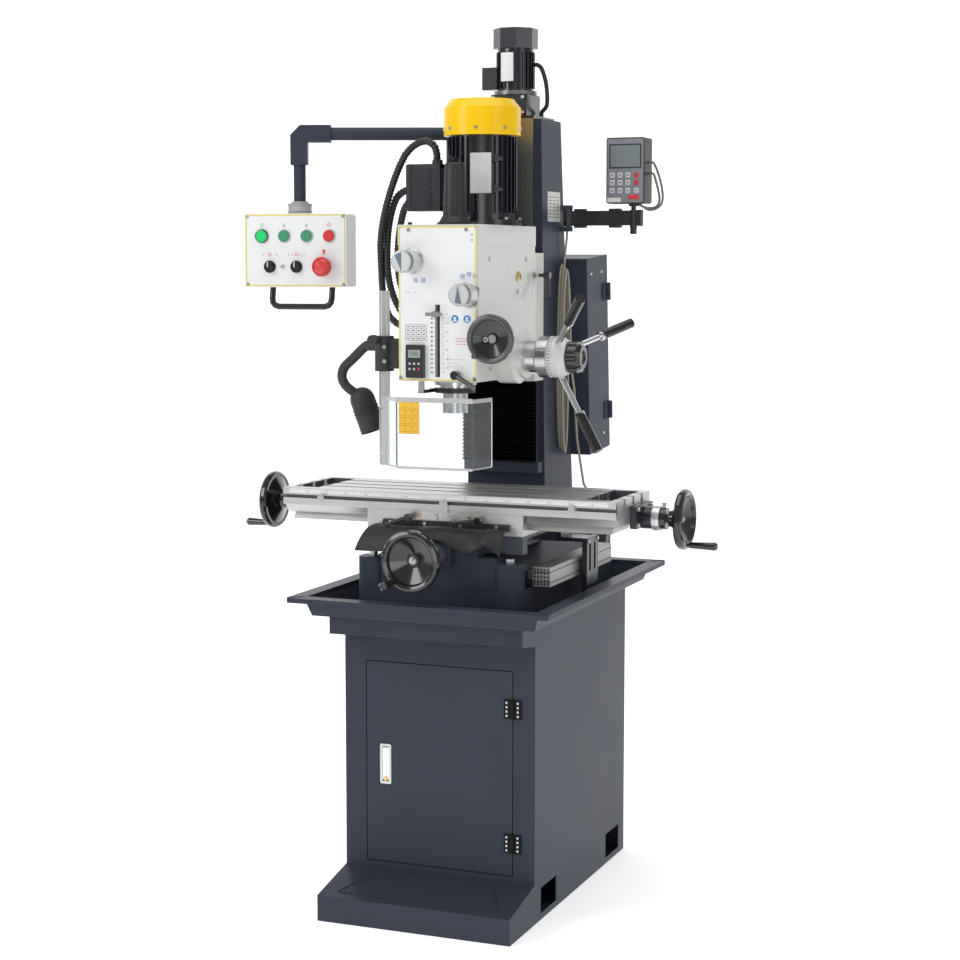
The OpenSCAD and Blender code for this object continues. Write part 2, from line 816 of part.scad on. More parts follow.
module head_casting() color(casting) {
  difference() {
    union() {
      difference() {
        translate([0, 0, head_z]) linear_extrude(head_h) head_outline(0);
        translate([0, 0, head_z + head_wall]) linear_extrude(head_h) head_outline(head_wall);
      }
      rod_z(head_z - 12, head_z + 190, 0, -spindle_y, quill_r + 12);
      rod_y(head_back - 30, head_back - 1, 0, tilt_z, 72);
    }
    rod_z(head_z - 13, head_z + 191, 0, -spindle_y, quill_r + fit);
    rod_y(head_back - 12, head_back + 1, 0, tilt_z, 60 + fit);
    block([-depth_slot_w / 2, -head_front - 1, head_z + 8], [depth_slot_w / 2, -spindle_y, head_z + 174]);
    block([-62, -head_front + 16, head_z - 1], [-40, -head_front + 30, head_z + head_wall + 1]);
    rod_x(-quill_r - 20, head_w, feed_y, shaft_z, feed_r + clr);
  }
}

module head_cover() color(casting) {
  difference() {
    union() {
      translate([0, 0, casting_top]) linear_extrude(cover_h) head_outline(0);
      block([-head_w / 2 - 2, -head_front, casting_top + 4], [head_w / 2 + 2, head_back, head_top]);
    }
    translate([0, 0, casting_top - 1]) linear_extrude(cover_h - 13) head_outline(head_wall);
    rod_z(casting_top, head_top + 1, 0, -spindle_y, spindle_r + 4);
  }
}

// Front plate, with the depth readout and the ruled edges of the depth slot
module front_plate() color("#ededef") {
  top = head_top - 4;
  bottom = head_z + 2;
  difference() {
    block([-head_w / 2 + 2, plate_y, bottom], [head_w / 2 - 2, -head_front, top]);
    block([-depth_slot_w / 2, plate_y - 1, head_z + 10], [depth_slot_w / 2, -head_front + 1, head_z + 172]);
  }
  block([-73, plate_y - 12, head_z + 8], [-30, plate_y, head_z + 82]);
  for (p = [[70, top - 8], [head_w / 2 - 6, head_z + 163], [head_w / 2 - 6, bottom + 6]])
    both_sides() rod_y(plate_y - 3, plate_y, p[0], p[1], 4);
}

// Spindle motor with flange, fins and terminal box

module spindle_motor() color(navy) {
  y = -motor_y;
  rod_z(head_top, head_top + 14, 0, y, motor_r + 10);
  rod_z(head_top + 13, head_top + motor_h, 0, y, motor_r - 8);
  for (k = [0:35]) rotate_about(0, y, k * 10 + 5)
    block([motor_r - 12, y - 1.6, head_top + 30], [motor_r, y + 1.6, head_top + motor_h - 3]);
  block([-motor_r - 88, y - 42, head_top + 35], [-motor_r - 6, y + 42, head_top + 145]);
  block([-motor_r - 10, y - 30, head_top + 45], [-motor_r + 16, y + 30, head_top + 135]);
  block([-motor_r - 92, y - 44, head_top + 36], [-motor_r - 80, y + 44, head_top + 144]);
  for (k = [0:6])
    block([-motor_r - 74, y - 45, head_top + 43 + 14 * k], [-motor_r - 30, y + 45, head_top + 51 + 14 * k]);
}

module fan_cover() color(amber) {
  z = head_top + motor_h + clr;
  difference() {
    translate([0, -motor_y, z]) rotate_extrude()
      polygon([[0, 0], [fan_r, 0], [fan_r, fan_h - 20], [fan_r - 16, fan_h], [0, fan_h]]);
    translate([0, -motor_y, z]) rotate_extrude()
      polygon([[0, 4], [fan_r - 7, 4], [fan_r - 7, fan_h - 24], [fan_r - 22, fan_h - 6], [0, fan_h - 6]]);
  }
}

module drawbar_cap() color(black) {
  translate([0, -spindle_y, head_top]) difference() {
    union() {
      cylinder(h = 6, r = cap_r + 13);
      translate([0, 0, 5.9]) cylinder(h = 14, r1 = cap_r + 9, r2 = cap_r + 1);
      translate([0, 0, 4]) cylinder(h = cap_h - 8, r1 = cap_r + 0.5, r2 = cap_r - 5);
      translate([0, 0, cap_h - 4.1]) cylinder(h = 4.1, r1 = cap_r - 5.2, r2 = cap_r - 8);
    }
    translate([0, 0, -1]) cylinder(h = cap_h - 4, r1 = cap_r - 3, r2 = cap_r - 9);
  }
}

// Feed housing: worm box on the head's right, with the fine-feed bearing and a steel sleeve
fine_x = head_w / 2 + 40;
fine_z = shaft_z + 45;

module feed_housing() color(casting) {
  x0 = head_w / 2;
  difference() {
    union() {
      turned_x(x0, feed_y, shaft_z) polygon([[0, 0], [62, 0], [62, 44], [50, 52], [50, 62], [0, 62]]);
      block([x0, -head_front + 40, shaft_z + 6], [x0 + 62, feed_y, fine_z + 24]);
      rod_y(-head_front + 4, -head_front + 60, fine_x, fine_z, 24);
    }
    rod_x(x0 - 1, x0 + 63, feed_y, shaft_z, feed_r + fit);
    rod_y(-head_front, -head_front + 50, fine_x, fine_z, 8 + fit);
  }
  turned_x(boss_x, feed_y, shaft_z)
    polygon([[feed_r + fit, 0], [36, 0], [36, 26], [47, 34], [47, 58], [feed_r + fit, 58]]);
}

// Feed hub with three levers on the pinion shaft
hub_x = boss_x + 58 + clr;

module feed_lever() color("#e8e8e6") {
  rod_x(-quill_r + 10, hub_x + 1, feed_y, shaft_z, feed_r);
  difference() {
    turned_x(hub_x, feed_y, shaft_z) polygon([[0, 0], [44, 0], [44, 3], [47, 5], [47, 24], [38, 42], [0, 42]]);
    rod_x(hub_x + 20, hub_x + 50, feed_y, shaft_z, 9 + fit);
  }
  for (k = lever_angles) {
    out = [0, cos(k), sin(k)];
    root = [hub_x + 20, feed_y, shaft_z] + 34 * out;
    tip = [hub_x + 20 + lever_out, feed_y, shaft_z] + lever_r * out;
    strut(root, root + 0.55 * (tip - root), 6.5);
    strut(root + 0.52 * (tip - root), tip, 11.5);
  }
}

lever_angles = [20, 140, 260];

module clutch_knob() color(black) {
  turned_x(hub_x + 42 + clr, feed_y, shaft_z)
    polygon([[0, 0], [30, 0], [34, 4], [34, 24], [26, 34], [16, 34], [14, 30], [0, 30]]);
  for (k = [0:5]) translate([hub_x + 46 + clr, feed_y, shaft_z]) rotate([k * 60, 0, 0])
    translate([0, 30, 0]) rotate([0, 90, 0]) cylinder(h = 22, r = 9);
  rod_x(hub_x + 22, hub_x + 43, feed_y, shaft_z, 9);
}

// Dished handwheel: its face towards the operator, the shaft going back
module wheel_profile(r, back) {
  polygon([[0, -r * 0.3], [r * 0.2, -r * 0.3], [r * 0.24, -r * 0.34], [r * 0.74, -r * 0.1], [r * 0.8, 0],
    [r * 0.88, r * 0.03], [r * 0.96, 0], [r, -r * 0.07], [r, -r * 0.18], [r * 0.94, -r * 0.25],
    [r * 0.82, -r * 0.24], [r * 0.3, -r * 0.46], [r * 0.26, -back], [0, -back]]);
}

module fine_feed_wheel() color(black) {
  y = -head_front - 32;
  turned_front(fine_x, y, fine_z) wheel_profile(fine_r, fine_r * 0.62);
  rod_y(y + 20, -head_front + 48, fine_x, fine_z, 8);
  rod_y(y - 16, y + 4, fine_x - fine_r * 0.55, fine_z - fine_r * 0.68, 6);
}

// Speed knobs
knob_left = [-62, head_z + 268];
knob_right = [76, head_z + 195];

module speed_knob(at, turn) {
  translate([at[0], plate_y - clr, at[1]]) rotate([90, 0, 0]) rotate([0, 0, turn]) {
    cylinder(h = knob_l * 0.35, r = knob_r);
    translate([0, 0, knob_l * 0.35]) cylinder(h = knob_l * 0.4, r1 = knob_r, r2 = knob_r * 0.96);
    difference() {
      translate([0, 0, knob_l * 0.7]) cylinder(h = knob_l * 0.3, r = knob_r * 0.96);
      for (s = [-1, 1]) translate([s * knob_r * 0.86 - knob_r / 2, -knob_r, knob_l * 0.8])
        cube([knob_r, 2 * knob_r, knob_l]);
    }
  }
}

module speed_knob_left() color("#b9bcbe") speed_knob(knob_left, 10);

module speed_knob_right() color("#b9bcbe") speed_knob(knob_right, 5);

module quill_lock() color(black) {
  translate([50, plate_y - 8, head_z + 16]) rotate([90, 0, 0]) rotate([0, 0, -28])
    clamp_lever(58, 10, 8 - clr);
}

// Work lamp on a gooseneck from the guard bracket
lamp_root = [-head_w / 2 - 100, post_y + 20, head_z + 74];
lamp_way = unit([-35, 6, -2]);
lamp_steps = [0.4 * lamp_way, 12 * lamp_way, 24 * lamp_way, [-61, 14, -31], [-88, 22, -53], [-97, 28, -76],
  [-88, 32, -97], [-66.5, 35, -113]];

module work_lamp() color(black) {
  dome = lamp_root + [-47.5, 35, -127.5];
  shade = unit([0.37, -0.03, -0.93]);
  plain_cord([for (p = lamp_steps) lamp_root + p], 11.5, 12, 4);
  translate(dome) sphere(29);
  difference() {
    strut(dome - 2 * shade, dome + 78 * shade, 29.3);
    strut(dome + 42 * shade, dome + 79 * shade, 26);
  }
}

// Black bracket for guard and lamp on the head's left
module guard_bracket() color(black) {
  side = -head_w / 2;
  z0 = head_z + 18;
  z1 = head_z + 98;
  difference() {
    union() {
      block([post_x, post_y - 12, z0 + 6], [side, post_y + 26, z1 - 6]);
      rod_z(z0, z1, post_x, post_y, post_w / 2 + 12);
      rod_y(post_y - 42, post_y, post_x - 6, z1 - 8, 7);
      rod_y(post_y - 56, post_y - 40, post_x - 6, z1 - 8, 12);
      strut([post_x, post_y + 14, z1 - 22], lamp_root, 12);
    }
    rod_z(z0 - 1, z1 + 1, post_x, post_y, post_w / 2 * sqrt(2) + clr);
  }
}

module guard_post() color(steel) {
  z1 = head_z + 201;
  translate([post_x, post_y, guard_z - 4]) rotate([0, 0, 45]) difference() {
    linear_extrude(z1 - guard_z + 4) square(post_w, center = true);
    for (k = [0:3]) rotate([0, 0, 90 * k]) translate([post_w / 2 - 3, -3, -1])
      cube([4, 6, z1 - guard_z + 6]);
  }
}

// Clear three-sided screen
module guard_screen() color([0.8, 0.85, 0.88, 0.5]) {
  half = guard_w / 2;
  left = [post_x + 2, post_y - post_w / 2 * sqrt(2) - guard_t];
  plan = [left, [-half, guard_y], [half, guard_y], [half + 13, guard_y + 78]];
  translate([0, 0, guard_z]) linear_extrude(guard_h) for (k = [0:2]) wall_2d(plan[k], plan[k + 1]);
  for (z = [guard_z + 22, guard_z + guard_h - 28]) {
    rod_y(left[1] - guard_t / 2 - 3, post_y - post_w / 2 * sqrt(2) - clr, left[0], z, 5);
  }
}

module wall_2d(a, b) {
  turn = atan2(b[1] - a[1], b[0] - a[0]);
  translate(a) circle(guard_t / 2);
  translate(b) circle(guard_t / 2);
  translate(a) rotate(turn) translate([0, -guard_t / 2]) square([norm(b - a), guard_t]);
}

// Quill with its collar, the depth pointer and the readout's bar
module quill() color("#d8dadb") {
  y = -spindle_y;
  difference() {
    union() {
      rod_z(quill_nose, head_z + 194, 0, y, quill_r);
      rod_z(quill_nose, quill_nose + 12, 0, y, quill_r + 9);
      block([-3.5, -head_front - 18, head_z + 145], [3.5, y - quill_r + 6, head_z + 157]);
      block([-58, -head_front + 19, quill_nose + 1], [-44, y, quill_nose + 9]);
      block([-58, -head_front + 21, quill_nose + 1], [-44, -head_front + 25, head_z + 270]);
    }
    rod_z(quill_nose - 1, head_z + 195, 0, y, spindle_r + fit);
  }
  rod_y(-head_front - 26, -head_front - 16, 0, head_z + 151, 7);
  block([-20, -head_front - 26, head_z + 147], [20, -head_front - 22, head_z + 155]);
}

// Spindle with its taper and parallel bore, and the drawbar
module spindle() color(steel) {
  translate([0, -spindle_y, 0]) {
    difference() {
      union() {
        translate([0, 0, spindle_nose]) cylinder(h = quill_nose - spindle_nose - clr, r = quill_r - 8);
        translate([0, 0, quill_nose - 1]) cylinder(h = head_top - quill_nose + 20, r = spindle_r);
      }
      translate([0, 0, spindle_nose - 1]) cylinder(h = 24, r1 = tool_bore_r + 4.4, r2 = tool_bore_r);
      translate([0, 0, spindle_nose]) cylinder(h = tool_bore_l, r = tool_bore_r);
    }
    translate([0, 0, head_top + 18]) cylinder(h = 28, r = 13, $fn = 6);
  }
}

// Saddle: slides on the base's ways and carries the table

module saddle() color("#dcdcda") {
  half = saddle_w / 2;
  cheek_z = deck_z + 5;
  difference() {
    union() {
      block([-half, -saddle_front, cheek_z], [half, saddle_back, edge_z]);
      block([-half, -saddle_front, saddle_z + 8], [half, saddle_back, edge_z - 1]);
    }
    along_y(-saddle_front - 1, saddle_back + 1)
      polygon(dovetail(way_w / 2, way_slope, way_depth + 1, way_z, clr));
    block([-way_w / 2 + way_slope - clr, -saddle_front - 1, cheek_z - 1],
      [way_w / 2 - way_slope + clr, saddle_back + 1, way_z - way_depth]);
    block([-half - 1, table_mid - table_w / 2 + 9, body_z - clr], [half + 1, saddle_back + 1, edge_z + 1]);
    along_x(-half - 1, half + 1) polygon([for (p = dovetail(92, -12, dove_drop + clr, body_z, clr))
      [p[0] + table_mid, p[1]]]);
    block([-half - 1, -saddle_front + 30, cheek_z - 1], [-way_w / 2 - 30, saddle_back - 30, saddle_z - 8]);
    block([way_w / 2 + 30, -saddle_front + 30, cheek_z - 1], [half + 1, saddle_back - 30, saddle_z - 8]);
  }
  cross_nut();
  table_nut();
}

module cross_nut() {
  difference() {
    block([-20, -160, cross_z - 18], [20, -120, saddle_z + 8]);
    rod_y(-161, -119, 0, cross_z, screw_r + fit);
  }
}

module table_nut() {
  y = -screw_y;
  difference() {
    block([-26, y - 15, saddle_z + 6], [26, y + 15, table_screw_z + 14]);
    rod_x(-27, 27, y, table_screw_z, screw_r + fit);
  }
}

module pointer_plate() color(steel) {
  y0 = -saddle_front - 5;
  difference() {
    union() {
      block([-10, y0, edge_z - 12], [10, -saddle_front - clr, edge_z + 24]);
      translate([0, 0, edge_z - 13]) along_y(y0, -saddle_front - clr) round_rect(60, 14, 6);
    }
    for (x = [-18, 18]) rod_y(y0 - 1, -saddle_front, x, edge_z - 13, 3);
  }
  for (x = [-18, 18]) rod_y(y0 - 4, y0, x, edge_z - 13, 5.5);
}

// Rubber apron, clamped under a strip and draped over the front of the ways
apron_half = 150;
apron_t = 3;

// Height of the drape at a place across, along its length 0 to 1
function apron_arch(x) = 30 * exp(-pow((x - 122) / 26, 2)) + 34 * exp(-pow(x / 56, 2));
function apron_point(x, s) = [
  x + 6 * s - (x < 0 ? 0.22 * abs(x) * s : 0),
  -saddle_front - (s == 0 ? 5 : 8 + 62 * pow(s, 0.8)),
  strip_z - 4 - 54 * pow(s, 2.2) + apron_arch(x) * pow(s, 1.3)];

module way_apron() color(black) {
  nx = 40;
  ns = 8;
  top = [for (i = [0:nx], j = [0:ns]) apron_point(-apron_half - 12 + i * (2 * apron_half + 20) / nx, j / ns)];
  low = [for (p = top) p - [0, 0, apron_t]];
  row = ns + 1;
  count = len(top);
  faces = concat(
    [for (i = [0:nx - 1], j = [0:ns - 1])
      each quad(i * row + j, (i + 1) * row + j, (i + 1) * row + j + 1, i * row + j + 1)],
    [for (i = [0:nx - 1], j = [0:ns - 1]) each quad(count + i * row + j, count + i * row + j + 1,
      count + (i + 1) * row + j + 1, count + (i + 1) * row + j)],
    [for (j = [0:ns - 1]) each quad(j, j + 1, count + j + 1, count + j)],
    [for (j = [0:ns - 1])
      each quad(nx * row + j + 1, nx * row + j, count + nx * row + j, count + nx * row + j + 1)],
    [for (i = [0:nx - 1]) each quad((i + 1) * row, i * row, count + i * row, count + (i + 1) * row)],
    [for (i = [0:nx - 1])
      each quad(i * row + ns, (i + 1) * row + ns, count + (i + 1) * row + ns, count + i * row + ns)]);
  polyhedron(concat(top, low), faces, convexity = 6);
  block([-apron_half, -saddle_front - 8, strip_z - 9], [apron_half + 11, -saddle_front - clr, strip_z + 6]);
  for (x = [-130, -44, 44, 132]) rod_y(-saddle_front - 11, -saddle_front - 7, x, strip_z, 4);
}

function quad(a, b, c, d) = [[a, b, c], [a, c, d]];

// Reading head of the encoder, on a plate that hangs from the saddle
module encoder_head() color(steel) {
  x = scale_x + scale_w;
  y0 = -70;
  y1 = 10;
  difference() {
    block([x + 8, y0, base_z + 8], [x + 20, y1, deck_z + 18]);
    for (y = [y0 + 22, y0 + 56]) {
      block([x + 7, y - 6, deck_z - 60], [x + 21, y + 6, deck_z + 4]);
      rod_x(x + 7, x + 21, y, base_z + 28, 7);
    }
  }
  block([saddle_w / 2 + clr, y0 + 10, deck_z + 8], [x + 9, y1 - 10, deck_z + 17]);
  block([saddle_w / 2 + clr, y0 + 10, deck_z + 8], [saddle_w / 2 + 8, y1 - 10, saddle_z + 12]);
  block([x + clr, y0 + 14, scale_z + 4], [x + 9, y1 - 14, scale_z + 34]);
}

module saddle_lever(x, turn) {
  translate([x, -saddle_front - 12, edge_z - 13]) rotate([90, 0, 0]) rotate([0, 0, turn])
    clamp_lever(56, 8, 11.7);
}

module saddle_lever_left() color(black) saddle_lever(-80, 200);

module saddle_lever_right() color(black) saddle_lever(92, 188);

// Table with T-slots, front groove, end troughs and dovetail

module table_section() {
  front = -table_front;
  back = front + table_w;
  difference() {
    union() {
      polygon([[front, table_z], [front, edge_z + clr], [front + 10, edge_z + clr], [front + 24, body_z],
        [back - 24, body_z], [back - 10, edge_z + clr], [back, edge_z + clr], [back, table_z]]);
      translate([table_mid, 0]) {
        polygon(dovetail(92, -12, dove_drop, body_z, -clr));
        translate([-91.5, body_z - 1]) square([183, 2]);
      }
    }
    translate([-screw_y - screw_r - 8, body_z - dove_drop - 2])
      square([2 * screw_r + 16, edge_z + 6 - body_z + dove_drop + 2]);
    for (k = [-1:1]) translate([table_mid + k * slot_pitch, 0]) {
      translate([-slot_w / 2, table_z - 12]) square([slot_w, 13]);
      translate([-slot_w / 2 - 5, table_z - 21]) square([slot_w + 10, 9.5]);
    }
    translate([front - 1, edge_z + 16]) square([5, 8]);
    translate([front + 3, edge_z + 13]) square([5, 14]);
  }
}

module table() color("#c4c3bd") {
  half = table_l / 2;
  front = -table_front;
  difference() {
    along_x(-half, half) table_section();
    both_sides() {
      block([half - 18 - trough_l, front + 24, table_z - 22], [half - 18, front + table_w - 24, table_z + 1]);
      block([half - 16, front - 1, body_z - dove_drop - 2], [half + 1, front + table_w + 1, body_z - clr]);
    }
  }
}

// Bearing housings on the table's ends
module screw_bearings() color(navy) {
  both_sides() difference() {
    union() {
      translate([0, -screw_y, table_screw_z + 6]) along_x(table_l / 2 + clr, table_l / 2 + 15)
        round_rect(130, 52, 8);
      rod_x(table_l / 2 + 10, table_l / 2 + 38, -screw_y, table_screw_z, dial_r - 4);
    }
    rod_x(table_l / 2 - 1, table_l / 2 + 39, -screw_y, table_screw_z, screw_r + fit);
  }
}

// Table screw with a dial and a handwheel at each end
module table_handwheels() color(black) {
  rod_x(-wheel_x + 20, wheel_x - 20, -screw_y, table_screw_z, screw_r);
  both_sides() {
    turned_x(table_l / 2 + 38 + clr, -screw_y, table_screw_z)
      polygon([[screw_r - 1, 0], [dial_r, 0], [dial_r, 17], [dial_r - 4, 18], [dial_r - 4, 30], [screw_r - 1, 30]]);
    turned_x(wheel_x, -screw_y, table_screw_z) wheel_profile(wheel_r, wheel_r * 0.62);
  }
  translate([wheel_x - 6, -screw_y, table_screw_z]) crank_grip([0, 0, -1]);
  mirror([1, 0, 0]) translate([wheel_x - 6, -screw_y, table_screw_z]) crank_grip([0, 0, -1]);
}

// Grip on a handwheel's rim, along +X
module crank_grip(way) {
  translate(wheel_r * 0.84 * way) rotate([0, 90, 0]) {
    cylinder(h = 14, r = 4);
    translate([0, 0, 10]) cylinder(h = grip_l - 14, r1 = grip_r * 0.72, r2 = grip_r);
    translate([0, 0, grip_l - 4]) cylinder(h = 5, r1 = grip_r, r2 = grip_r * 0.6);
  }
}

module front_handwheel() color(black) {
  rod_y(-wheel_y + 20, col_front - 22, 0, cross_z, screw_r);
  turned_front(0, -wheel_y, cross_z) wheel_profile(wheel_r, wheel_r * 0.62);
  turned_front(0, -base_front - 49 - clr, cross_z)
    polygon([[screw_r - 1, 0], [dial_r, 0], [dial_r, 17], [dial_r - 4, 18], [dial_r - 4, 46], [screw_r - 1, 46]]);
  translate([0, -wheel_y + 6, cross_z]) rotate([0, 0, -90]) crank_grip([0, -0.6, -0.8]);
}

// Stops in the table's front groove
module table_stop(x) {
  y = -table_front;
  block([x - 10, y + 3 + clr, edge_z + 13 + clr], [x + 10, y + 8 - clr, edge_z + 27 - clr]);
  rod_y(y - 9, y + 5, x, edge_z + 20, 3.4);
  rod_y(y - 9, y - clr, x, edge_z + 20, 8);
}

stop_x = 309;

module table_stop_left() color(black) table_stop(-stop_x);

module table_stop_right() color(black) table_stop(stop_x);

// Panel arm: a pipe on a collar, with an elbow and a drop
module panel_arm() color(charcoal) {
  a = [arm_pivot[0], arm_pivot[1], arm_z];
  b = [elbow[0], elbow[1], arm_z];
  difference() {
    union() {
      rod_z(arm_z - arm_r - 6 + clr, arm_z + arm_r + 4, a[0], a[1], 24);
      strut(a, b, arm_r);
    }
    rod_z(arm_z - arm_r - 7, arm_z + arm_r + 5, a[0], a[1], 9 + fit);
  }
  translate(b) rotate([0, 0, atan2(a[1] - b[1], a[0] - b[0])]) along_y(-19, 19)
    polygon([[-21, -76], [-21, -3], [3, 21], [78, 21], [78, -21], [21, -21], [21, -76]]);
  rod_z(panel_top + 30 + clr, arm_z, b[0], b[1], arm_r - 1);
}

module on_panel() {
  translate([elbow[0], elbow[1], panel_top]) rotate([0, 0, panel_turn]) children();
}

panel_buttons = [-86, -28, 30, 88];
row_1 = -55;
row_2 = -130;

module control_box() color("#e9e9ea") on_panel() {
  front = -panel_d / 2;
  difference() {
    union() {
      translate([0, 0, -panel_h / 2]) along_y(front, panel_d / 2) round_rect(panel_w, panel_h, 6);
      translate([0, 0, -1]) cylinder(h = 26, r = arm_r + 13);
      translate([0, 0, 24]) cylinder(h = 6, r = arm_r + 5);
    }
    translate([0, 0, -panel_h / 2]) along_y(front + 4, panel_d / 2 - 3) round_rect(panel_w - 8, panel_h - 8, 3);
    for (x = panel_buttons) rod_y(front - 1, front + 5, x, row_1, 11 + clr);
    for (x = [panel_buttons[0] + 20, panel_buttons[1] + 31]) rod_y(front - 1, front + 5, x, row_2, 11 + clr);
    rod_y(front - 1, front + 5, panel_buttons[3] - 12, row_2, 11 + clr);
  }
  rod_y(front - 4, front + 1, panel_buttons[0] + 53, row_2, 4.5);
  panel_handle(front);
}

// U handle under the panel's front edge
module panel_handle(front) {
  z = -panel_h;
  bar = 7.5;
  for (s = [-1, 1]) {
    line = [for (p = [[77, 24, 2], [77, 17, -28], [75, 15.5, -38], [69, 14.5, -45], [59, 14, -48]])
      [11 + s * p[0], front + p[1], z + p[2]]];
    for (i = [0:3]) strut(line[i], line[i + 1], bar);
    for (i = [1:4]) translate(line[i]) sphere(bar + 0.2);
  }
  strut([-48, front + 14, z - 48], [70, front + 14, z - 48], bar);
}

module push_button(x, z) on_panel() {
  front = -panel_d / 2;
  rod_y(front - 6, front + 12, x, z, 11);
  difference() {
    rod_y(front - 5, front - clr - 3, x, z, 14);
    rod_y(front - 6, front - 3, x, z, 10);
  }
}

module start_button() color("#3fbf7f") push_button(panel_buttons[0], row_1);

module forward_button() color("#1f8a55") push_button(panel_buttons[1], row_1);

module reverse_button() color("#1f8a55") push_button(panel_buttons[2], row_1);

module stop_button() color("#c8202a") push_button(panel_buttons[3], row_1);

module emergency_button() color("#d0242c") on_panel() {
  front = -panel_d / 2;
  x = panel_buttons[3] - 12;
  rod_y(front - 24, front + 10, x, row_2, 11);
  turned_front(x, front - 20, row_2)
    polygon([[0, 0], [stop_d / 2 - 3, 0], [stop_d / 2, 3], [stop_d / 2, 8], [stop_d / 2 - 5, 12], [0, 14]]);
}

module selector(x) on_panel() {
  front = -panel_d / 2;
  rod_y(front - 7, front + 12, x, row_2, 11);
  rod_y(front - 5, front - clr, x, row_2, 14);
  translate([x, front - 6, row_2]) block([-4, -12, -13], [4, 0, 13]);
}

module selector_left() color(black) selector(panel_buttons[0] + 20);

module selector_right() color(black) selector(panel_buttons[1] + 31);

// Position display on its arm
dro_end = dro_pivot[0] + dro_l;

module dro_arm() color(black) {
  x = dro_pivot[0];
  y = dro_pivot[1];
  difference() {
    union() {
      rod_z(dro_z - 20 + clr, dro_z + 20, x, y, 11);
      block([x, y - 7, dro_z - 18], [dro_end, y + 7, dro_z + 18]);
      rod_z(dro_z - 24, dro_z + 19, dro_end - 20, y, 9);
    }
    rod_z(dro_z - 21, dro_z + 21, x, y, 5 + fit);
  }
  rod_z(dro_z + 19, dro_z + 28, dro_end - 20, y, 6);
}

// Two leads that leave the display's right side and go back to the foot that it turns on
module display_leads() color("#6f6c62") {
  edge = dro_end - 32 + dro_w / 2;
  for (k = [0, 1]) plain_cord([[edge + 0.4, dro_pivot[1] + 10, dro_z + 132 - 26 * k],
    [edge + 10, dro_pivot[1] + 10, dro_z + 132 - 26 * k],
    [edge + 20 - 4 * k, dro_pivot[1] + 11, dro_z + 112 - 22 * k],
    [edge + 30 - 7 * k, dro_pivot[1] + 14, dro_z + 76 - 16 * k],
    [edge + 32 - 8 * k, dro_pivot[1] + 16, dro_z + 42 - 3 * k],
    [edge + 20 - 6 * k, dro_pivot[1] + 16, dro_z + 24 + 2 * k],
    [edge - 2 - 4 * k, dro_pivot[1] + 13 - 5 * k, dro_z + 19.5 + 5 * k],
    [dro_end - 3, dro_pivot[1] + 4 - 8 * k, dro_z + 30.6],
    [dro_end - 7.4, dro_pivot[1] + 3.4 - 7 * k, dro_z + 30.6]], 2.8, 8, 4);
}

module dro_display() color("#3a3d44") {
  x = dro_end - 32;
  y = dro_pivot[1] - 31 + dro_d / 2;
  z = dro_z + 34;
  translate([x, y, z + dro_h / 2]) along_y(-dro_d / 2, dro_d / 2) round_rect(dro_w, dro_h, 5);
  rod_z(z - 6 + clr, z + 1, dro_end - 20, dro_pivot[1], 12);
}

// Cables

// Frame across a route at each point, and a tube swept along the route
function unit(v) = v / norm(v);
function heading(r, i) = unit(r[min(i + 1, len(r) - 1)] - r[max(i - 1, 0)]);
function side_of(d) = unit(cross(d, abs(d[2]) > 0.85 ? [0, 1, 0] : [0, 0, 1]));

// Points of a smooth curve through hand-chosen points
function spline(a, b, c, d, t) = 0.5 * (2 * b + (c - a) * t + (2 * a - 5 * b + 4 * c - d) * t * t
  + (3 * b - a - 3 * c + d) * t * t * t);
function smooth(r, n) = [for (i = [0:len(r) - 2], k = [0:n - 1])
  spline(r[max(i - 1, 0)], r[i], r[i + 1], r[min(i + 2, len(r) - 1)], k / n), r[len(r) - 1]];

// Carried frames keep the tube from twisting
function frames(r) = [for (i = 0, d = heading(r, 0), s = side_of(d); i < len(r);
  i = i + 1, d = i < len(r) ? heading(r, i) : d, s = unit(s - (s * d) * d)) [s, cross(d, s)]];

module tube(route, radii, sides) {
  n = len(route);
  f = frames(route);
  points = [for (i = [0:n - 1], k = [0:sides - 1])
    route[i] + radii[i] * (cos(360 * k / sides) * f[i][0] + sin(360 * k / sides) * f[i][1])];
  walls = [for (i = [0:n - 2], k = [0:sides - 1]) each
    let (a = i * sides + k, b = i * sides + (k + 1) % sides) quad(a, a + sides, b + sides, b)];
  start = [for (k = [1:sides - 2]) [0, k, k + 1]];
  end = [for (k = [1:sides - 2]) [(n - 1) * sides, (n - 1) * sides + k + 1, (n - 1) * sides + k]];
  polyhedron(points, concat(walls, start, end), convexity = 8);
}

module plain_cord(route, r, sides, steps) {
  line = smooth(route, steps);
  tube(line, [for (p = line) r], sides);
}

// Conduits from the terminal box down to the back of the head's left side
conduit_r = 9;
gland_x = -motor_r - 92 - clr;
conduit_steps = [
  [[74, -30, 125 + clr], [74, -30, 140], [73, -30, 150], [64, -30, 170], [36, -30, 178], [-8, -28, 148],
    [-54, -14, 62], [-88, 8, -34], [-102, 38, -120],
    [-100, 50, -196], [-70, 56, -252]],
  [[-0.3, 0, 66], [-12, 0, 66], [-24, 2, 64], [-50, 10, 46], [-72, 20, -10], [-84, 32, -84], [-84, 44, -150],
    [-68, 54, -206], [-40, 58, -234]],
  [[-0.3, 10, 40], [-10, 10, 40], [-18, 12, 37], [-34, 18, 16], [-50, 28, -36], [-60, 40, -100], [-58, 52, -156],
    [-42, 60, -196], [-16, 64, -214]]];
conduit_ends = [[66, 88], [68, 112], [70, 136]];

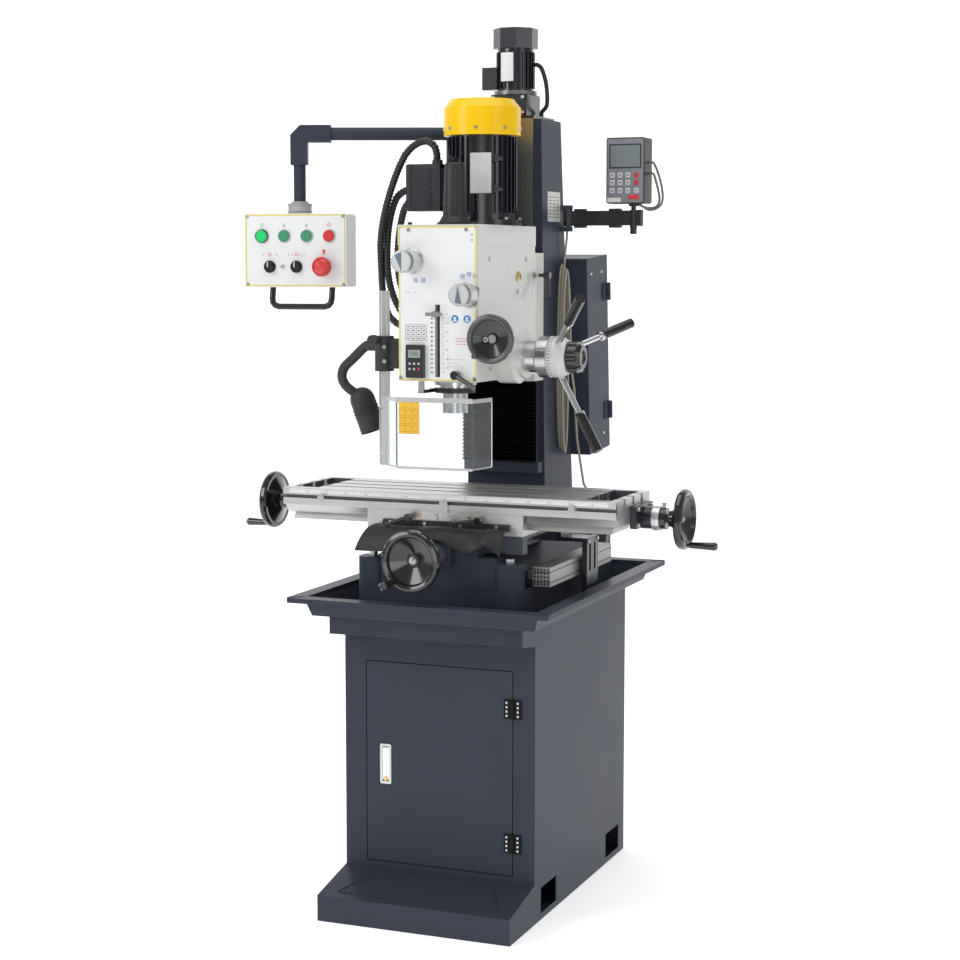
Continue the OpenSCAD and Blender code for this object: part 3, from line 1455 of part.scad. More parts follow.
module motor_conduits() color(black) {
  for (k = [0:2]) plain_cord(concat(
    [for (p = conduit_steps[k]) [gland_x + p[0], -motor_y + p[1], head_top + 20 + p[2]]],
    [for (d = [26, 14, 0.6]) [-head_w / 2 - d, -motor_y + conduit_ends[k][0], head_z + conduit_ends[k][1]]]),
    conduit_r, 8, 3);
}

// Looms and coiled cables on the right of the column
hank_x = col_top_w / 2 + 8;
hank_r = 3;
hank_pitch = 7.5;

// Long loops lying one over the other beside the column, with a tail at each end
function hank(x, y, z, wide, tall, turns) = [for (k = [0:turns * 24])
  [x + hank_pitch * k / 24, y + wide * cos(k * 15) - 3 * k / 24, z - tall * sin(k * 15) - 6 * k / 24]];

hank_y = col_front + 104;
hank_end = [scale_x + scale_w / 2, scale_y1 + clr, scale_z + 22];
hank_route = concat([[hank_x + 8, dro_pivot[1], dro_z - 32 - clr], [hank_x + 8, dro_pivot[1] - 1, dro_z - 46],
    [hank_x + 6, dro_pivot[1] - 5, dro_z - 76], [hank_x + 4, dro_pivot[1] - 10, dro_z - 120]],
  hank(hank_x + 4, hank_y, col_z + 430, 24, 226, 3),
  [[hank_x + 34, hank_y + 22, col_z + 346], [hank_x + 38, hank_y + 34, col_z + 220],
    [hank_x + 52, hank_y + 46, col_z + 110], [hank_x + 90, hank_y + 40, col_z + 50],
    [hank_end[0] - 4, hank_y + 20, col_z + 6], [hank_end[0], hank_end[1] + 24, hank_end[2] + 8], hank_end]);

// Least gap between two turns, with each stretch cut in four and points within one turn of bend left out
hank_fine = [for (i = [0:len(hank_route) - 2], t = [0:0.25:0.75]) hank_route[i] * (1 - t) + hank_route[i + 1] * t];
hank_gap = min([for (i = [0:len(hank_fine) - 1], j = [i + 40:1:len(hank_fine) - 1])
  norm(hank_fine[i] - hank_fine[j])]) - 2 * hank_r;
echo(hank_self_gap_mm = hank_gap);

module control_cables() color("#8d8778") {
  tube(hank_route, [for (p = hank_route) hank_r], 6);
  plain_cord([[lift_motor_r - 0.4, lift_axis_y + 6.7, col_top + 133], [lift_motor_r + 8, lift_axis_y + 6.7, col_top + 133],
    [lift_motor_r + 18, lift_axis_y + 8, col_top + 124], [lift_motor_r + 26, lift_axis_y + 14, col_top + 96],
    [lift_motor_r + 27, lift_axis_y + 24, col_top + 62], [lift_motor_r + 24, lift_axis_y + 28, col_top + 36],
    [lift_motor_r + 12, lift_axis_y + 28, col_top + 22], [lift_motor_r + 11, lift_axis_y + 28, col_top + 14],
    [lift_motor_r + 11, lift_axis_y + 28, col_top + 8.5]], 5.2, 8, 3);
}

cabinet_shell();
cabinet_door();
latch_paddle();
drip_tray();
machine_base();
hold_down_bolts();
encoder_scale();
column();
lift_drive();
electric_box();
electric_box_door();
way_bellows();
control_cables();
lift_screw();
head_carriage();
carriage_lever();
head_casting();
head_cover();
front_plate();
spindle_motor();
fan_cover();
drawbar_cap();
feed_housing();
work_lamp();
motor_conduits();
guard_bracket();
quill();
spindle();
feed_lever();
clutch_knob();
fine_feed_wheel();
speed_knob_left();
speed_knob_right();
quill_lock();
guard_post();
guard_screen();
saddle();
pointer_plate();
way_apron();
encoder_head();
saddle_lever_left();
saddle_lever_right();
front_handwheel();
table();
screw_bearings();
table_stop_left();
table_stop_right();
table_handwheels();
panel_arm();
control_box();
start_button();
forward_button();
reverse_button();
stop_button();
emergency_button();
selector_left();
selector_right();
dro_arm();
dro_display();
display_leads();
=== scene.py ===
import json
import math
import bmesh
import bpy
from mathutils import Matrix, Vector


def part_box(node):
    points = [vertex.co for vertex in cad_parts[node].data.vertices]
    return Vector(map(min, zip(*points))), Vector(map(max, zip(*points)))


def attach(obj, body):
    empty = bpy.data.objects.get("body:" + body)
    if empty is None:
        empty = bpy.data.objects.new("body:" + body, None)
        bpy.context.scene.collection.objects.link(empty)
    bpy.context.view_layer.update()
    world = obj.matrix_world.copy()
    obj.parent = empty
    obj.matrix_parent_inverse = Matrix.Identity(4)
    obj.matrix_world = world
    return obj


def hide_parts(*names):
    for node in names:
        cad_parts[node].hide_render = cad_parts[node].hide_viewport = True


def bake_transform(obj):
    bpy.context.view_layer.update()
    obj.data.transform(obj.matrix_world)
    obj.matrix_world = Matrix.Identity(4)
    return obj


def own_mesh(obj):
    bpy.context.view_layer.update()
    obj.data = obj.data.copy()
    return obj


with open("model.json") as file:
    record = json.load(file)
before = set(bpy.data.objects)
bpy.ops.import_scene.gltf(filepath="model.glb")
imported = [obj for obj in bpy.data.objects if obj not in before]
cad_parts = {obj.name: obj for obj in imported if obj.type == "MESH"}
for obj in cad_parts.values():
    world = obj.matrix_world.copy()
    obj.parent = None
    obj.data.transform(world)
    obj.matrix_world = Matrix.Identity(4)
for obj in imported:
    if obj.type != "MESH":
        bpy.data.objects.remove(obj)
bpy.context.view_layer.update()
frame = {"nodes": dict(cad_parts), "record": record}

MM = 0.001
AXES = {"x": 0, "y": 1, "z": 2}

# Axes and heights that several pieces share, in millimetres
SPINDLE_Y = -223
MOTOR_Y = -58
HEAD_Z = 1226
MOTOR_FOOT_Z = 1596
FEED_AXIS = (-174, 1279)
FINE_AXIS = (136, 1324)
TABLE_SCREW = (-126, 916)
CROSS_SCREW = (0, 840)

# Camera: fitted to the photograph

CAMERA_AT = (1.7789, -4.4754, 1.4948)
CAMERA_TURN = 22.0
CAMERA_DROP = 6.2
LENS = 75.57


def make_camera():
    data = bpy.data.cameras.new("camera")
    data.lens = LENS
    data.sensor_width = 36.0
    data.clip_end = 60.0
    cam = bpy.data.objects.new("camera", data)
    cam.location = CAMERA_AT
    cam.rotation_euler = (math.radians(90 - CAMERA_DROP), 0, math.radians(CAMERA_TURN))
    bpy.context.scene.collection.objects.link(cam)
    bpy.context.scene.camera = cam


make_camera()


# Surfaces: one procedural shader, with zones set by place on the piece

class Surface:
    def __init__(self, name):
        self.material = bpy.data.materials.new(name)
        self.material.use_nodes = True
        self.tree = self.material.node_tree
        self.shader = self.tree.nodes["Principled BSDF"]
        self.coords = self.tree.nodes.new("ShaderNodeTexCoord").outputs["Object"]
        split = self.tree.nodes.new("ShaderNodeSeparateXYZ")
        self.tree.links.new(self.coords, split.inputs[0])
        self.xyz = split.outputs

    def plug(self, value, socket):
        if isinstance(value, bpy.types.NodeSocket):
            self.tree.links.new(value, socket)
        else:
            socket.default_value = value

    def math(self, op, a, b=0.0):
        node = self.tree.nodes.new("ShaderNodeMath")
        node.operation = op
        self.plug(a, node.inputs[0])
        self.plug(b, node.inputs[1])
        return node.outputs[0]

    def noise(self, scale, detail=4.0, stretch=(1, 1, 1)):
        mapping = self.tree.nodes.new("ShaderNodeMapping")
        mapping.inputs["Scale"].default_value = stretch
        self.tree.links.new(self.coords, mapping.inputs["Vector"])
        node = self.tree.nodes.new("ShaderNodeTexNoise")
        node.inputs["Scale"].default_value = scale
        node.inputs["Detail"].default_value = detail
        self.tree.links.new(mapping.outputs[0], node.inputs["Vector"])
        return node.outputs["Fac"]

    def mix(self, mask, a, b, colour=False):
        node = self.tree.nodes.new("ShaderNodeMix")
        node.data_type = "RGBA" if colour else "FLOAT"
        first, second, out = (6, 7, 2) if colour else (2, 3, 0)
        self.plug(mask, node.inputs[0])
        self.plug(a, node.inputs[first])
        self.plug(b, node.inputs[second])
        return node.outputs[out]

    def between(self, value, low, high):
        above = self.math("GREATER_THAN", value, low * MM)
        below = self.math("LESS_THAN", value, high * MM)
        return self.math("MULTIPLY", above, below)

    def across(self, axis, c1, c2):
        a, b = [k for k in range(3) if k != AXES[axis]]
        return (self.math("SUBTRACT", self.xyz[a], c1 * MM),
                self.math("SUBTRACT", self.xyz[b], c2 * MM))

    def mask(self, zone):
        parts = [self.between(self.xyz[AXES[k]], *zone[k]) for k in "xyz" if k in zone]
        for k in "xyz":
            if "r" + k in zone:
                c1, c2, low, high = zone["r" + k]
                a, b = self.across(k, c1, c2)
                square = self.math("ADD", self.math("MULTIPLY", a, a), self.math("MULTIPLY", b, b))
                parts.append(self.between(self.math("SQRT", square), low, high))
        if "tick" in zone:
            axis, pitch, duty = zone["tick"]
            step = self.math("FRACT", self.math("DIVIDE", self.xyz[AXES[axis]], pitch * MM))
            parts.append(self.math("LESS_THAN", step, duty))
        if "turn" in zone:
            axis, c1, c2, count, duty = zone["turn"]
            a, b = self.across(axis, c1, c2)
            angle = self.math("DIVIDE", self.math("ARCTAN2", a, b), 2 * math.pi / count)
            parts.append(self.math("LESS_THAN", self.math("FRACT", angle), duty))
        total = parts[0]
        for part in parts[1:]:
            total = self.math("MULTIPLY", total, part)
        return total


def tones(colour, vary):
    return (*[c * (1 - vary) for c in colour], 1), (*[min(1, c * (1 + vary)) for c in colour], 1)


def surface(name, colour, metal=0.0, rough=0.4, coat=0.0, vary=0.08, scale=30.0, stretch=(1, 1, 1),
            bump=0.02, bump_scale=300.0, zones=(), see_through=0.0, glow=0.0, sheen=0.5):
    s = Surface(name)
    shade = s.noise(scale, stretch=stretch)
    fine = s.noise(bump_scale, detail=2.0, stretch=stretch)
    tint = s.mix(shade, *tones(colour, vary), True)
    rough_now = s.mix(shade, max(0.02, rough - 0.06), min(1.0, rough + 0.08))
    metal_now = metal
    for zone in zones:
        mask = s.mask(zone)
        own = s.mix(shade, *tones(zone["colour"], vary), True)
        tint = s.mix(mask, tint, own, True)
        rough_now = s.mix(mask, rough_now, zone.get("rough", 0.4))
        metal_now = s.mix(mask, metal_now, zone.get("metal", 0.0))
    s.plug(tint, s.shader.inputs["Base Color"])
    s.plug(rough_now, s.shader.inputs["Roughness"])
    s.plug(metal_now, s.shader.inputs["Metallic"])
    s.shader.inputs["Specular IOR Level"].default_value = sheen
    s.shader.inputs["Coat Weight"].default_value = coat
    s.shader.inputs["Coat Roughness"].default_value = 0.12
    if see_through:
        s.shader.inputs["Transmission Weight"].default_value = see_through
        s.shader.inputs["IOR"].default_value = 1.12
    if glow:
        s.plug(tint, s.shader.inputs["Emission Color"])
        s.shader.inputs["Emission Strength"].default_value = glow
    node = s.tree.nodes.new("ShaderNodeBump")
    node.inputs["Strength"].default_value = bump
    node.inputs["Distance"].default_value = 0.002
    s.tree.links.new(fine, node.inputs["Height"])
    s.tree.links.new(node.outputs[0], s.shader.inputs["Normal"])
    return s.material


CHARCOAL = (0.045, 0.053, 0.075)
NAVY = (0.009, 0.011, 0.018)
CREAM = (0.62, 0.63, 0.60)
WHITE = (0.83, 0.84, 0.84)
BLACK = (0.010, 0.010, 0.011)
DARK = (0.022, 0.023, 0.026)
STEEL = (0.56, 0.57, 0.58)
GROUND = (0.60, 0.60, 0.59)
ALLOY = (0.66, 0.66, 0.65)
AMBER = (0.94, 0.57, 0.001)
YELLOW = (0.80, 0.64, 0.06)
BRASS = (0.72, 0.52, 0.20)
RED = (0.68, 0.045, 0.045)
GREEN = (0.06, 0.30, 0.16)
BLUE = (0.02, 0.22, 0.55)

dial = dict(colour=(0.66, 0.67, 0.68), metal=0.9, rough=0.28)
mark = dict(colour=(0.03, 0.03, 0.03), metal=0.0, rough=0.5)
polished = dict(colour=STEEL, metal=1.0, rough=0.22)
gloss_black = dict(colour=BLACK, metal=0.0, rough=0.16)


def enamel(name, rough, scale, **words):
    return surface(name, CHARCOAL, rough=rough, coat=0.04, sheen=0.08, scale=scale, **words)


paint = enamel("enamel_dark", 0.36, 6, bump=0.05, bump_scale=160)
navy = surface("motor_paint", NAVY, rough=0.26, coat=0.4, bump=0.08)
gloss = surface("gloss_black", BLACK, rough=0.14, coat=0.6, bump=0.01)
matte = surface("matte_black", DARK, rough=0.5, bump=0.06)
steel = surface("turned_steel", STEEL, metal=1.0, rough=0.26, vary=0.12, scale=90, bump=0.03)
chrome = surface("bright_steel", (0.78, 0.79, 0.80), metal=1.0, rough=0.12, scale=20, bump=0.01)
alloy = surface("drawn_alloy", ALLOY, metal=0.9, rough=0.34, vary=0.10, scale=60, stretch=(1, 1, 0.1))
white = surface("panel_white", WHITE, rough=0.35, vary=0.02, bump=0.01)
yellow = surface("border_yellow", YELLOW, rough=0.4, vary=0.04)
brass = surface("brass", BRASS, metal=1.0, rough=0.28)
plate_bright = surface("plate_bright", (0.66, 0.66, 0.64), metal=0.25, rough=0.38, vary=0.10, scale=120,
                       stretch=(1, 1, 0.2))
show_grey = surface("display_grey", (0.235, 0.245, 0.285), rough=0.38, coat=0.2, vary=0.04)
key_white = surface("key_white", (0.62, 0.63, 0.64), rough=0.4, vary=0.03)
tape_plain = surface("tape_plain", (0.78, 0.78, 0.74), rough=0.45, vary=0.03)
knob_light = surface("knob_face", (0.66, 0.68, 0.69), metal=0.5, rough=0.34, vary=0.04)
wedge_grey = surface("knob_wedge", (0.13, 0.18, 0.22), rough=0.4, vary=0.05)
label_blue = surface("label_blue", (0.42, 0.46, 0.60), rough=0.45, vary=0.05)
ink = surface("ink_grey", (0.10, 0.10, 0.11), rough=0.5)
blue = surface("disc_blue", BLUE, rough=0.35, vary=0.04)
screen = surface("screen_dark", (0.20, 0.235, 0.25), rough=0.16, coat=0.7, vary=0.22, scale=9, bump=0.0)
lcd = surface("screen_grey", (0.30, 0.34, 0.31), rough=0.18, coat=0.6, vary=0.03, bump=0.0)
key_grey = surface("key_grey", (0.50, 0.51, 0.52), rough=0.4)
key_red = surface("key_red", RED, rough=0.35)
amber_label = surface("label_amber", (0.85, 0.50, 0.03), rough=0.45, vary=0.04)
beige = surface("cable_beige", (0.36, 0.33, 0.27), rough=0.6, scale=60)
conduit_black = surface("conduit_black", (0.012, 0.012, 0.013), rough=0.42, scale=50)
lead_grey = surface("lead_grey", (0.17, 0.165, 0.15), rough=0.5, scale=80)


def wear(node, material):
    obj = frame["nodes"][node]
    obj.data.materials.clear()
    obj.data.materials.append(material)


# Surfaces of the CAD pieces

hinge_leaves = [dict(colour=(0.013, 0.013, 0.014), rough=0.35, x=(160, 206), y=(-345, -325.05), z=(z0, z1))
                for z0, z1 in ((160, 206), (470, 516))]
latch_plate = dict(polished, x=(-147.5, -117.5), y=(-330, -325.05), z=(290, 388))
latch_cup = dict(colour=(0.22, 0.23, 0.24), metal=1.0, rough=0.35, x=(-144, -121), y=(-325.05, -308),
                 z=(294, 384))

wear("cabinet_shell", enamel("cabinet_enamel", 0.34, 5, bump=0.03, bump_scale=120, zones=hinge_leaves))
wear("cabinet_door", enamel("door_enamel", 0.33, 5, bump=0.03, bump_scale=120,
                            zones=hinge_leaves + [latch_plate, latch_cup]))
for material, nodes in (
        (paint, ("drip_tray", "electric_box", "panel_arm")),
        (chrome, ("latch_paddle",)),
        (steel, ("hold_down_bolts", "spindle", "pointer_plate", "table_stop_left", "table_stop_right")),
        (alloy, ("speed_knob_left", "speed_knob_right")),
        (matte, ("work_lamp", "guard_bracket")),
        (gloss, ("carriage_lever", "clutch_knob", "quill_lock", "saddle_lever_left", "saddle_lever_right",
                 "selector_left", "selector_right"))):
    for node in nodes:
        wear(node, material)
wear("machine_base", enamel("base_enamel", 0.36, 8, bump=0.14, bump_scale=80, zones=[
    dict(dial, y=(-410, -342.2), ry=(*CROSS_SCREW, 0, 30)),
    dict(colour=GROUND, metal=0.85, rough=0.35, x=(-116, 116), z=(852.5, 881), y=(-330, 98))]))
wear("encoder_scale", surface("extrusion", (0.42, 0.41, 0.39), metal=0.7, rough=0.42, vary=0.08, zones=[
    dict(colour=(0.10, 0.10, 0.10), metal=0.3, rough=0.5, x=(200, 252), z=(774, 777)),
    dict(colour=(0.10, 0.10, 0.10), metal=0.3, rough=0.5, x=(200, 252), z=(798, 801))]))
wear("column", enamel("column_enamel", 0.36, 8, bump=0.12, bump_scale=90, zones=[
    dict(colour=(0.40, 0.40, 0.39), metal=0.9, rough=0.38, x=(-80, 80), y=(60, 97.6), z=(1014, 1840))]))
wear("lift_drive", surface("lift_motor_paint", NAVY, rough=0.24, coat=0.5, bump=0.07, zones=[
    dict(colour=(0.18, 0.19, 0.20), metal=0.7, rough=0.35, z=(1894, 1904))]))
wear("electric_box_door", enamel("box_door_enamel", 0.36, 6, bump=0.04))
wear("way_bellows", surface("bellows_black", (0.004, 0.004, 0.0045), rough=0.55, sheen=0.2, scale=25,
                            bump=0.08))
wear("lift_screw", surface("screw_steel", STEEL, metal=1.0, rough=0.3, zones=[
    dict(colour=(0.22, 0.22, 0.22), metal=1.0, rough=0.4, tick=("z", 5, 0.45))]))
wear("head_carriage", surface("carriage_cream", (0.55, 0.55, 0.51), rough=0.34, coat=0.3, scale=10,
                              bump=0.12, zones=[
    dict(colour=GROUND, metal=0.85, rough=0.35, y=(38, 47))]))
wear("head_casting", surface("head_enamel", CREAM, rough=0.28, coat=0.45, scale=7, bump=0.09,
                             bump_scale=100, zones=[
    dict(polished, rz=(0, SPINDLE_Y, 0, 50.5), z=(1205, 1220))]))
wear("head_cover", surface("cover_enamel", CREAM, rough=0.28, coat=0.45, scale=7, bump=0.07, bump_scale=100))
wear("front_plate", surface("front_plate_white", WHITE, rough=0.32, vary=0.02, bump=0.01, zones=[
    dict(colour=(0.02, 0.021, 0.023), rough=0.35, x=(-74, -29), y=(-340, -326.05), z=(1230, 1312)),
    *(dict(polished, ry=(x, z, 0, 5), y=(-331, -326.02)) for x, z in (
        (70, 1564), (-70, 1564), (90, 1398), (-90, 1398), (90, 1234), (-90, 1234)))]))
wear("spindle_motor", surface("motor_enamel", NAVY, rough=0.24, coat=0.5, bump=0.10, bump_scale=120))
wear("fan_cover", surface("fan_enamel", AMBER, rough=0.28, coat=0.2, sheen=0.2, vary=0.04, bump=0.02))
wear("drawbar_cap", surface("cap_black", (0.017, 0.017, 0.019), rough=0.42, bump=0.05))
wear("feed_housing", surface("feed_enamel", CREAM, rough=0.28, coat=0.4, scale=12, bump=0.08, zones=[
    dict(colour=(0.60, 0.61, 0.62), metal=0.95, rough=0.24, x=(158.05, 300)),
    dict(mark, x=(193, 214), rx=(*FEED_AXIS, 40, 60), turn=("x", *FEED_AXIS, 72, 0.16))]))
wear("quill", surface("quill_steel", (0.60, 0.61, 0.62), metal=1.0, rough=0.2, zones=[
    dict(colour=(0.04, 0.04, 0.042), metal=0.3, rough=0.35, z=(1187, 1208), rz=(0, SPINDLE_Y, 38, 60)),
    dict(polished, y=(-356, -330))]))
wear("feed_lever", surface("feed_hub", (0.66, 0.67, 0.66), rough=0.26, coat=0.4, zones=[
    dict(colour=(0.70, 0.71, 0.72), metal=1.0, rough=0.16, rx=(*FEED_AXIS, 50, 400)),
    dict(colour=BLACK, metal=0.0, rough=0.25, rx=(*FEED_AXIS, 127, 400)),
    dict(mark, x=(220, 228), rx=(*FEED_AXIS, 44, 60), turn=("x", *FEED_AXIS, 40, 0.2)),
    dict(polished, x=(-60, 216.2))]))
wheel_steel = [dict(polished, ry=(*FINE_AXIS, 0, 9.5), y=(-340, -250)),
               dict(colour=(0.055, 0.055, 0.058), rough=0.42, ry=(*FINE_AXIS, 37, 70), y=(-372, -350))]
wear("fine_feed_wheel", surface("fine_wheel_black", BLACK, rough=0.15, coat=0.5, zones=wheel_steel))
wear("guard_post", surface("post_alloy", ALLOY, metal=0.9, rough=0.32, vary=0.08, stretch=(1, 1, 0.1)))
wear("guard_screen", surface("clear_sheet", (0.90, 0.93, 0.95), rough=0.05, vary=0.01, see_through=0.94,
                             bump=0.0, zones=[
    dict(colour=(0.75, 0.76, 0.76), metal=0.5, rough=0.3, z=(1180, 1200)),
    dict(colour=(0.75, 0.76, 0.76), metal=0.5, rough=0.3, z=(1020, 1034))]))
wear("saddle", surface("saddle_ground", (0.60, 0.60, 0.58), metal=0.75, rough=0.32, vary=0.12, scale=50,
                       bump=0.05, zones=[
    dict(colour=CHARCOAL, metal=0.0, rough=0.35, z=(800, 880))]))
apron_rubber = surface("apron_rubber", (0.012, 0.012, 0.013), rough=0.5, scale=25, bump=0.08)
wear("encoder_head", surface("reader_enamel", NAVY, rough=0.36, coat=0.3))
wear("front_handwheel", surface("front_wheel_black", BLACK, rough=0.13, coat=0.6, zones=[
    dict(dial, y=(-406, -388)),
    dict(mark, y=(-397, -388), ry=(*CROSS_SCREW, 27, 40), turn=("y", *CROSS_SCREW, 80, 0.18)),
    dict(polished, ry=(*CROSS_SCREW, 0, 12), y=(-440, 90))]))
wear("table", surface("table_ground", GROUND, metal=0.82, rough=0.36, vary=0.16, scale=50,
                      stretch=(0.2, 5, 1), bump=0.05, zones=[
    dict(colour=(0.10, 0.11, 0.13), metal=0.3, rough=0.5, x=(328, 393), y=(-268, -62), z=(940, 967.5)),
    dict(colour=(0.10, 0.11, 0.13), metal=0.3, rough=0.5, x=(-393, -328), y=(-268, -62), z=(940, 967.5)),
    dict(colour=(0.16, 0.16, 0.16), metal=0.6, rough=0.5, y=(-289.6, -280), z=(938, 960))]))
wear("screw_bearings", surface("bearing_enamel", NAVY, rough=0.34, coat=0.3))
wear("table_handwheels", surface("wheels_black", BLACK, rough=0.13, coat=0.6, zones=[
    dict(dial, x=(447, 466)), dict(dial, x=(-466, -447)),
    dict(mark, x=(448, 458), rx=(*TABLE_SCREW, 27, 40), turn=("x", *TABLE_SCREW, 80, 0.18)),
    dict(mark, x=(-458, -448), rx=(*TABLE_SCREW, 27, 40), turn=("x", *TABLE_SCREW, 80, 0.18)),
    dict(polished, rx=(*TABLE_SCREW, 0, 11), x=(-470, 470))]))
wear("control_box", surface("panel_box_white", WHITE, rough=0.34, vary=0.02, bump=0.02, zones=[
    dict(colour=BLACK, rough=0.22, z=(1360, 1430.9)),
    dict(colour=(0.42, 0.43, 0.43), rough=0.45, z=(1616, 1650)),
    dict(colour=(0.05, 0.05, 0.05), rough=0.45, z=(1611.2, 1616))]))
for name, colour, glow in (("start_button", (0.01, 0.50, 0.12), 0.35), ("forward_button", GREEN, 0.0),
                           ("reverse_button", GREEN, 0.0), ("stop_button", RED, 0.0)):
    wear(name, surface(name + "_cap", colour, rough=0.2, coat=0.6, vary=0.05, glow=glow))
wear("emergency_button", surface("mushroom_red", RED, rough=0.2, coat=0.6, vary=0.04))
wear("dro_arm", surface("arm_black", (0.018, 0.018, 0.020), rough=0.36, coat=0.2, bump=0.04))
wear("dro_display", surface("display_case", (0.020, 0.018, 0.019), rough=0.42, bump=0.05))


# Pieces: shapes gathered into one mesh, in millimetres

class Piece:
    def __init__(self, matrix=None):
        self.mesh = bmesh.new()
        self.matrix = matrix or Matrix.Identity(4)

    def block(self, low, high, turn=None):
        size = [high[k] - low[k] for k in range(3)]
        middle = [(high[k] + low[k]) / 2 for k in range(3)]
        place = Matrix.Translation(middle) @ (turn or Matrix.Identity(4)) @ Matrix.Diagonal((*size, 1))
        bmesh.ops.create_cube(self.mesh, size=1.0, matrix=place)
        return self

    def rod(self, a, b, r, r2=None, sides=32):
        a, b = Vector(a), Vector(b)
        turn = (b - a).to_track_quat("Z", "Y").to_matrix().to_4x4()
        bmesh.ops.create_cone(self.mesh, cap_ends=True, segments=sides, radius1=r,
                              radius2=r if r2 is None else r2, depth=(b - a).length,
                              matrix=Matrix.Translation((a + b) / 2) @ turn)
        return self

    def lathe(self, origin, toward, profile, sides=48):
        turn = Vector(toward).to_track_quat("Z", "Y").to_matrix().to_4x4()
        place = Matrix.Translation(origin) @ turn
        rings = []
        for r, h in profile:
            rings.append([self.mesh.verts.new(place @ Vector((r * math.cos(2 * math.pi * k / sides),
                                                              r * math.sin(2 * math.pi * k / sides), h)))
                          for k in range(sides)])
        for one, two in zip(rings, rings[1:] + rings[:1]):
            for k in range(sides):
                self.mesh.faces.new((one[k], one[(k + 1) % sides], two[(k + 1) % sides], two[k]))
        return self

    def path(self, points, radius, sides=10):
        points = [Vector(p) for p in points]
        across = None
        rings = []
        for i, p in enumerate(points):
            ahead = (points[min(i + 1, len(points) - 1)] - points[max(i - 1, 0)]).normalized()
            if across is None:
                across = ahead.orthogonal().normalized()
            across = (across - across.dot(ahead) * ahead).normalized()
            up = ahead.cross(across)
            r = radius[i] if isinstance(radius, list) else radius
            rings.append([self.mesh.verts.new(p + r * (math.cos(2 * math.pi * k / sides) * across
                                                      + math.sin(2 * math.pi * k / sides) * up))
                          for k in range(sides)])
        for one, two in zip(rings, rings[1:]):
            for k in range(sides):
                self.mesh.faces.new((one[k], one[(k + 1) % sides], two[(k + 1) % sides], two[k]))
        self.mesh.faces.new(list(reversed(rings[0])))
        self.mesh.faces.new(rings[-1])
        return self

    def done(self, name, material, body, bevel=0.0, slot=None, smooth=True):
        self.mesh.transform(Matrix.Scale(MM, 4) @ self.matrix)
        bmesh.ops.recalc_face_normals(self.mesh, faces=self.mesh.faces)
        data = bpy.data.meshes.new(name)
        self.mesh.to_mesh(data)
        self.mesh.free()
        obj = bpy.data.objects.new(name, data)
        bpy.context.scene.collection.objects.link(obj)
        data.materials.append(material)
        if bevel:
            mod = obj.modifiers.new("edge", "BEVEL")
            mod.width = bevel * MM
            mod.segments = 2
            mod.limit_method = "ANGLE"
        if smooth:
            for face in data.polygons:
                face.use_smooth = True
            data.set_sharp_from_angle(angle=math.radians(35))
        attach(obj, body)
        return obj


# Soft edges on the CAD pieces, so that they catch light as real edges do

EDGES = {
    2.5: ("machine_base", "head_casting"),
    2.0: ("column", "head_cover"),
    1.6: ("cabinet_shell", "cabinet_door"),
    1.5: ("head_carriage", "drawbar_cap", "fan_cover"),
    1.2: ("drip_tray", "electric_box", "electric_box_door", "dro_display"),
    1.0: ("guard_bracket", "control_box"),
    0.8: ("saddle",),
    0.6: ("table", "spindle_motor", "lift_drive", "front_plate")}
for width, name in ((width, name) for width, names in EDGES.items() for name in names):
    mod = frame["nodes"][name].modifiers.new("edge", "BEVEL")
    mod.width = width * MM
    mod.segments = 2
    mod.limit_method = "ANGLE"
    mod.angle_limit = math.radians(40)
    mod.harden_normals = False


def write(name, text, at, size, material, body, thick=0.12):
    data = bpy.data.curves.new(name, "FONT")
    data.body = text
    data.size = size * MM
    data.extrude = thick * MM
    data.align_x = "CENTER"
    data.align_y = "CENTER"
    obj = bpy.data.objects.new(name, data)
    obj.matrix_world = Matrix.Translation([v * MM for v in at]) @ Matrix.Rotation(math.radians(90), 4, "X")
    bpy.context.scene.collection.objects.link(obj)
    data.materials.append(material)
    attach(obj, body)


# Cabinet: hinge screws, lock, pressed toe plate

shell_screws = Piece()
door_screws = Piece()
for z in (183, 493):
    for dz in (-15, -5, 5, 15):
        shell_screws.rod((195, -329.2, z + dz), (195, -327.6, z + dz), 2.6, 2.0)
        door_screws.rod((168, -329.2, z + dz), (168, -327.6, z + dz), 2.6, 2.0)
shell_screws.done("hinge_screws_fixed", steel, "stand", slot="steel")
door_screws.done("hinge_screws_moving", steel, "cabinet_door", slot="steel")
latch_key = Piece().rod((-132.5, -327.9, 304), (-132.5, -323, 304), 5.5)
latch_key.done("latch_key", brass, "door_latch", 0.4, "chrome")


def on_toe(x, u):
    return Vector((x, -480 + 155 * u, 60 + 32 * u + 0.6))


bead = Piece()
corners = [on_toe(-196, 0.16), on_toe(196, 0.16), on_toe(150, 0.78), on_toe(-150, 0.78)]
for a, b in zip(corners, corners[1:] + corners[:1]):
    bead.path([a + (b - a) * k / 8 for k in range(9)], 1.7, 8)
bead.done("toe_pressing", paint, "stand", slot="paint")

# Tray: welded corners

welds = Piece()
for x in (-1, 1):
    for outer, inner in ((-463, -436), (405, 378)):
        welds.path([(x * 312, outer, 738.2), (x * 283, inner, 738.2)], 0.9, 8)
welds.done("tray_welds", paint, "stand", slot="paint")

# Table: ruled tape along the front edge, oilers, end screws

